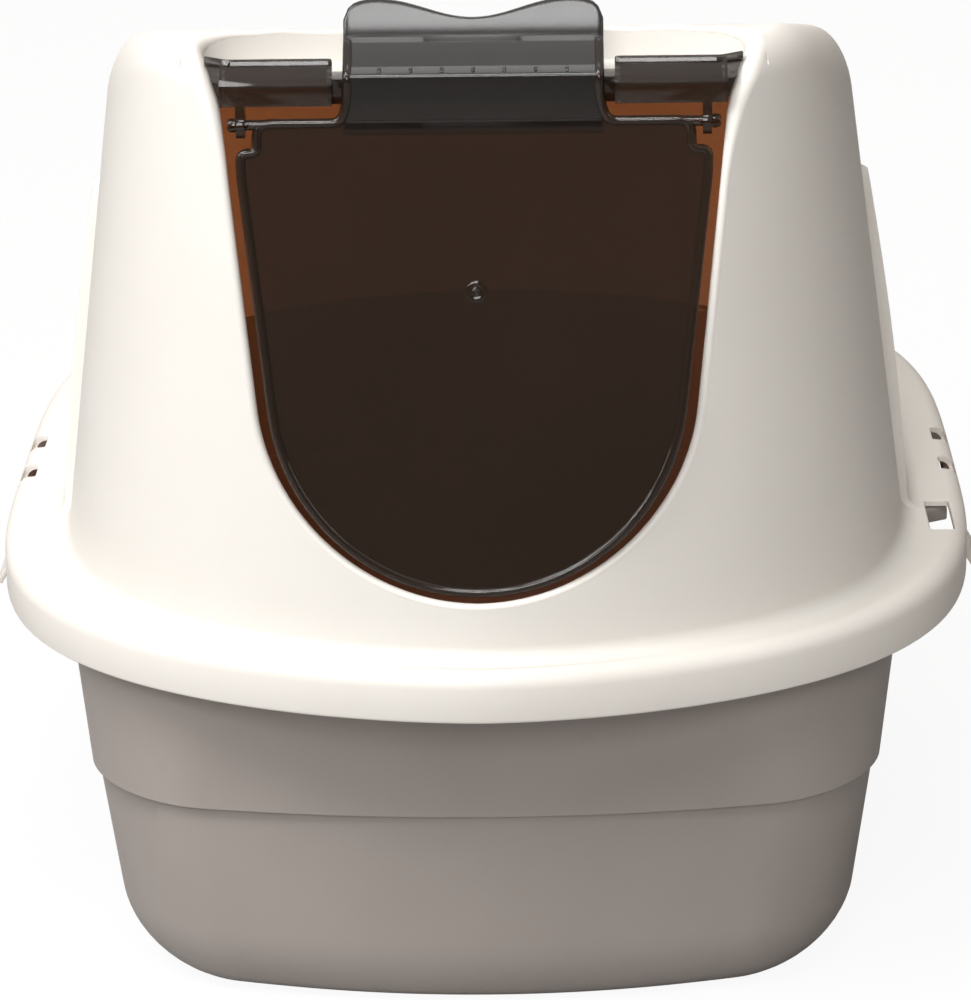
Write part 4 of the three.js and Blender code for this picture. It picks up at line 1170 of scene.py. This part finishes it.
facet = view["facet"] - view["face"]
facet_slope = math.atan2(facet[2], facet[1])
facet_middle = (view["face"] + view["facet"]) / 2
rib_foot = flap_thickness / 2
rib_ring = rounded_box(rib["width"] / 2, rib["half_length"], rib["corner"])
rib_levels = [level(rib_ring, rib_foot - rib["sink"])]
for turn in np.linspace(0, 0.47 * math.pi, 6):
    rib_levels.append(level(rib_ring * math.cos(turn), rib_foot + rib["depth"] * math.sin(turn)))
for number, x in enumerate(rib_places):
    rib_pose = (hinge_pose @ Matrix.Translation(Vector((x, *facet_middle[1:])) * MM)
                @ Matrix.Rotation(facet_slope, 4, "X"))
    flap_rib = shape(f"flap_rib_{number + 1}", *loft(rib_levels), pose=rib_pose)
    dress(flap_rib, smoke, "door", "smoke_plastic")


def lathe(profile):
    """A turned piece about z from a list of radii and heights."""
    turn = np.linspace(0, 2 * math.pi, 40, endpoint=False)
    circle = np.stack([np.cos(turn), np.sin(turn)], axis=1)
    return loft([level(circle * max(radius, 0.02), height) for radius, height in profile])


def turned_pose(origin, axis):
    turned_to = Vector(axis).to_track_quat("Z", "Y").to_matrix().to_4x4()
    return Matrix.Translation(Vector(origin) * MM) @ turned_to


pin_start = shoulder - pin["root"]
head = pin["head_from"] - pin_start
head_end = head + pin["head_length"]
nose_length = pin["reach"] - pin_start - head_end
pin_profile = [(pin["radius"], 0), (pin["radius"], head - pin["lead"]), (pin["head"], head),
               (pin["head"], head_end)]
pin_profile += [(pin["head"] - pin["nose"] * inset, head_end + nose_length * (1 - low))
                for inset, low in quarter(6)[1:]]
y, z = hinge_place["y"], hinge_place["z"]
for side, name in ((1, "right"), (-1, "left")):
    pin_pose = turned_pose((side * pin_start, y, z), (side, 0, 0))
    split_pin = shape(f"door_pin_{name}", *lathe(pin_profile), pose=pin_pose)
    span = sorted((side * (shoulder + pin["root"]), side * (pin["reach"] + pin["root"])))
    apply_tools(split_pin, [core("pin_slot", *box_prism(
        (span[0], y - pin["slot_half_depth"], z - pin["slot"] / 2),
        (span[1], y + pin["slot_half_depth"], z + pin["slot"] / 2)))], "DIFFERENCE")
    soften(split_pin, 40)
    dress(split_pin, smoke, "door", "smoke_plastic")

mark_profile = [(4.2, -0.3), (4.2, 0.05), (3.9, 0.2), (2.6, 0.22), (2.1, 0.05), (1.7, 0.1),
                (1.5, 0.7), (1.1, 0.95), (0.6, 0.8), (0.02, 0.6)]
mark_place = leaned([(gate_mark["x"], -door_thickness / 2, -gate_mark["drop"])])[0]
mark_origin = mark_place + (0, hinge_place["y"], hinge_place["z"])
mark_axis = (0, -math.cos(door_lean), math.sin(door_lean))
mark = shape("gate_mark", *lathe(mark_profile), pose=turned_pose(mark_origin, mark_axis))
dress(mark, smoke, "door", "smoke_plastic")


# Hinge bar
# A smoky bar clipped across the top of the entrance. Two hollow wings with rolled upper edges
# carry the ears that hold the door's pins, and a strip with pegs sits on the niche's ledge.
def eased_copy(node_name, name, width):
    """The node's own solid with its edges eased, as a moulded piece has them."""
    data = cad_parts[node_name].data.copy()
    net = bmesh.new()
    net.from_mesh(data)
    bmesh.ops.remove_doubles(net, verts=net.verts, dist=1e-6)
    bmesh.ops.dissolve_limit(net, angle_limit=math.radians(3), verts=net.verts, edges=net.edges)
    edges = [edge for edge in net.edges
             if len(edge.link_faces) == 2 and edge.calc_face_angle() > math.radians(28)]
    bmesh.ops.bevel(net, geom=edges, offset=width * MM, offset_type="OFFSET", segments=3,
                    profile=0.5, affect="EDGES", clamp_overlap=True)
    bmesh.ops.recalc_face_normals(net, faces=net.faces)
    net.to_mesh(data)
    net.free()
    made = bpy.data.objects.new(name, data)
    bpy.context.scene.collection.objects.link(made)
    soften(made, 40)
    return made


wing = {
    "inner": 53, "outer": 95, "lip": (7.4, 21.4), "lip_half": (1.6, 1.9), "lip_corner": 0.5,
    "lip_tilt": 52, "brow": (-0.6, 16), "sill": 7.4, "face_cover": 0.5,
    "flare_back": 6, "flare_gap": 0.8, "flare_run": 2,
    "end_thickness": 1.4, "end_overlap": 0.8, "end_least": 0.4, "end_slant": 0.6,
}
lip_taper = {0: 0.6, 0.004: 0.8, 0.012: 0.95, 0.03: 1, 0.988: 1, 0.996: 0.9, 1: 0.7}

tilt = math.radians(wing["lip_tilt"])
turned = np.array(((math.cos(tilt), math.sin(tilt)), (-math.sin(tilt), math.cos(tilt))))
taper_places = list(lip_taper)
lip_places = np.concatenate([
    taper_places[:3], np.linspace(*taper_places[3:5], 24), taper_places[5:],
])
lip_sizes = np.interp(lip_places, taper_places, list(lip_taper.values()))
bar = eased_copy("hinge_bar", "hinge_bar_body", 0.35)
dress(bar, smoke, "hood", "smoke_plastic", "hinge_bar")
for side, name in ((1, "right"), (-1, "left")):
    y, z = wing["lip"]
    tip = np.interp(hinge_place["z"] + z, half_z, half_x) - wing["flare_gap"]
    section = rounded_box(*wing["lip_half"], wing["lip_corner"]) @ turned
    flare_start = wing["outer"] - wing["flare_run"]
    lip_rings = []
    for place, size in zip(lip_places, lip_sizes):
        x = wing["inner"] + (tip - wing["inner"]) * place
        back = wing["flare_back"] * max(0, x - flare_start) / (tip - flare_start)
        ring = section * size + (y + back, z)
        lip_rings.append(np.column_stack([np.full(len(ring), side * x), ring]))
    wing_lip = shape(f"wing_lip_{name}", *loft(lip_rings), pose=hinge_pose)
    dress(wing_lip, smoke, "hood", "smoke_plastic")
    front_y, front_z = zip(
        (wing["brow"][0] - wing["face_cover"], wing["sill"]), wing["brow"], (y, z))
    plate_from = wing["outer"] - wing["end_overlap"]
    thick = wing["end_thickness"]
    end_rings = []
    for height in np.linspace(wing["sill"], z, 14):
        near = np.interp(height, front_z, front_y)
        reach = np.interp(hinge_place["z"] + height, half_z, half_x) - wing["flare_gap"]
        out = max(wing["end_least"], reach - plate_from)
        back = wing["flare_back"] * out / (tip - plate_from)
        x, far = side * plate_from, side * (plate_from + out)
        end_rings.append(np.array([
            (x, near, height), (far, near + back, height),
            (far, near + back + thick, height), (x, near + thick + wing["end_slant"], height),
        ]))
    wing_end = shape(f"wing_end_{name}", *loft(end_rings), sharp=30, pose=hinge_pose)
    dress(wing_end, smoke, "hood", "smoke_plastic")


# Side latches
# Two cream clips, moulded with their pins, that snap in between the lugs of the skirt. Each hooks
# its nose under the tray's rim, and is pulled out by the finger lip at its lower end.
for name in ("latch_right", "latch_left"):
    latch = eased_copy(name, f"{name}_clip", 0.5)
    dress(latch, cream, name, "cream_plastic", name)


# Filter and its cover
# A pad of black carbon felt lies loose in the pocket in the roof. Over it closes a slotted cover
# of cream plastic, which swings on two stub pins moulded on its barrel.
pad_size = {"half_x": 58, "half_y": 44, "corner": 4, "thickness": 4.4, "edge": 0.8, "lift": 0.3}

felt_finish = Finish("carbon_felt")
fibres = felt_finish.noise(1600, 4, 0.8)
clumps = felt_finish.noise(240, 3, 0.6)
felt_relief = felt_finish.bump(fibres * 0.7 + clumps * 0.6, 0.0005, 0.9)
felt = felt_finish.close(felt_finish.node("ShaderNodeBsdfPrincipled", {}, {
    "Base Color": felt_finish.tint(clumps, srgb(30, 30, 31), srgb(62, 61, 60)),
    "Roughness": 0.95,
    "Sheen Weight": 0.3,
    "Sheen Roughness": 0.6,
    "Normal": felt_relief,
}))
pad_levels = []
for turn in np.linspace(0, math.pi, 9):
    out = pad_size["edge"] * (math.sin(turn) - 1)
    z = -pocket_depth + pad_size["lift"] + pad_size["thickness"] * (1 - math.cos(turn)) / 2
    ring = rounded_box(pad_size["half_x"] + out, pad_size["half_y"] + out, pad_size["corner"])
    pad_levels.append(level(ring, z))
pad = shape("carbon_felt_pad", *loft(pad_levels), pose=pocket_pose)
dress(pad, felt, "hood", "carbon_felt", "carbon_filter")
cover = eased_copy("filter_cover", "filter_cover_grille", 0.35)
dress(cover, cream, "filter_cover", "cream_plastic", "filter_cover")


# Studio
# A camera at the photograph's viewing angle, large soft lamps round the box, a pale surround and a
# round sheet of white floor paper, which shows white to the eye and still takes the box's shadow.
camera_place = (0.02965, -1.8657, 0.7805)
camera_pitch = 0.3317
camera_yaw = 0.0166
camera_roll = 0.0144
photo_width = 971
focal_pixels = 4510
sensor = 36
room_grey = 0.04
mirrored_room = 0.14
paper_grey = 0.4
paper_glow = 1.1
paper_share = 0.84
floor_radius = 6000
floor_sides = 96
floor_drop = 0.2

camera_data = bpy.data.cameras.new("camera")
camera_data.sensor_fit = "HORIZONTAL"
camera_data.sensor_width = sensor
camera_data.lens = focal_pixels / photo_width * sensor
camera = bpy.data.objects.new("camera", camera_data)
bpy.context.scene.collection.objects.link(camera)
right = Vector((math.cos(camera_yaw), math.sin(camera_yaw), 0))
ahead = Vector((-math.sin(camera_yaw) * math.cos(camera_pitch),
                math.cos(camera_yaw) * math.cos(camera_pitch), -math.sin(camera_pitch)))
up = right.cross(ahead)
tilt = Matrix.Rotation(camera_roll, 3, ahead)
axes = Matrix((tilt @ right, tilt @ up, -ahead)).transposed().to_4x4()
camera.matrix_world = Matrix.Translation(camera_place) @ axes
bpy.context.scene.camera = camera


def soft_lamp(name, place, size, power, aim=(0, 0, 0.2), colour=(1, 1, 1)):
    """A large square lamp aimed at the middle of the box, or at another point."""
    data = bpy.data.lights.new(name, "AREA")
    data.shape = "SQUARE"
    data.size = size
    data.energy = power
    data.color = colour
    lamp = bpy.data.objects.new(name, data)
    lamp.location = place
    way = Vector(aim) - Vector(place)
    lamp.rotation_euler = way.to_track_quat("-Z", "Y").to_euler()
    bpy.context.scene.collection.objects.link(lamp)


def seen_directly(finish):
    """1 for what the camera sees straight or through clear plastic, and 0 elsewhere."""
    straight = finish.node("ShaderNodeLightPath", {}, {}, "Is Camera Ray")
    clear = finish.node("ShaderNodeLightPath", {}, {}, "Is Transmission Ray")
    return straight.sum_with("MAXIMUM", straight, clear)


warm = (1, 0.93, 0.84)
soft_lamp("key_lamp", (-1.7, -1.1, 1.8), 1.2, 25)
soft_lamp("high_lamp", (-1.1, -0.9, 2.3), 1.0, 29)
soft_lamp("side_lamp", (-2.2, -0.3, 1.2), 1.0, 9)
soft_lamp("front_lamp", (-0.03, -1.35, 2.1), 0.65, 17)
soft_lamp("low_lamp", (-0.3, -2.5, 1.35), 0.9, 28)
soft_lamp("rear_lamp", (0, 1.7, 2.0), 0.9, 19, colour=warm)
soft_lamp("right_lamp", (2, -1, 1.5), 1.2, 7, colour=warm)
soft_lamp("strip_lamp", (0, 0.2, 2.4), 0.5, 3)
soft_lamp("cabin_glow", (0, -0.05, 0.28), 0.12, 0.13, (0, 0.25, 0.24), (1, 0.36, 0.13))

world = bpy.data.worlds.new("studio")
bpy.context.scene.world = world
world.use_nodes = True
studio = Finish(world)
direct = seen_directly(studio)
mirrored = studio.node("ShaderNodeLightPath", {}, {}, "Is Glossy Ray")
way = studio.node("ShaderNodeTexCoord", {}, {}, "Generated")
height = studio.node("ShaderNodeSeparateXYZ", {}, {"Vector": way}, "Z")
depth = studio.node("ShaderNodeSeparateXYZ", {}, {"Vector": way}, "Y")
overhead = studio.spread(height + depth * 0.6, 0.25, 1.0)
around = room_grey + mirrored * (mirrored_room + overhead)
air = studio.node("ShaderNodeBackground", {}, {
    "Color": (1, 1, 1, 1), "Strength": direct + (1 - direct) * around,
})
studio.node("ShaderNodeOutputWorld", {}, {"Surface": air})

floor_finish = Finish("floor_paper")
paper_colour = (paper_grey, paper_grey, paper_grey, 1)
lit = floor_finish.node("ShaderNodeBsdfDiffuse", {}, {"Color": paper_colour})
bright = floor_finish.node("ShaderNodeEmission", {}, {
    "Color": (1, 1, 1, 1), "Strength": paper_glow,
})
paper = floor_finish.node("ShaderNodeMixShader", {}, {
    0: seen_directly(floor_finish) * paper_share, 1: lit, 2: bright,
})
turn = np.linspace(0, 2 * math.pi, floor_sides, endpoint=False)
floor_circle = floor_radius * np.column_stack([np.cos(turn), np.sin(turn)])
floor_ring = level(floor_circle, -floor_drop)
floor = shape("floor", *loft([floor_ring, floor_ring * (0.5, 0.5, 1)], (False, True)))
floor.data.materials.append(floor_finish.close(paper))
bpy.context.scene.view_settings.view_transform = "Standard"
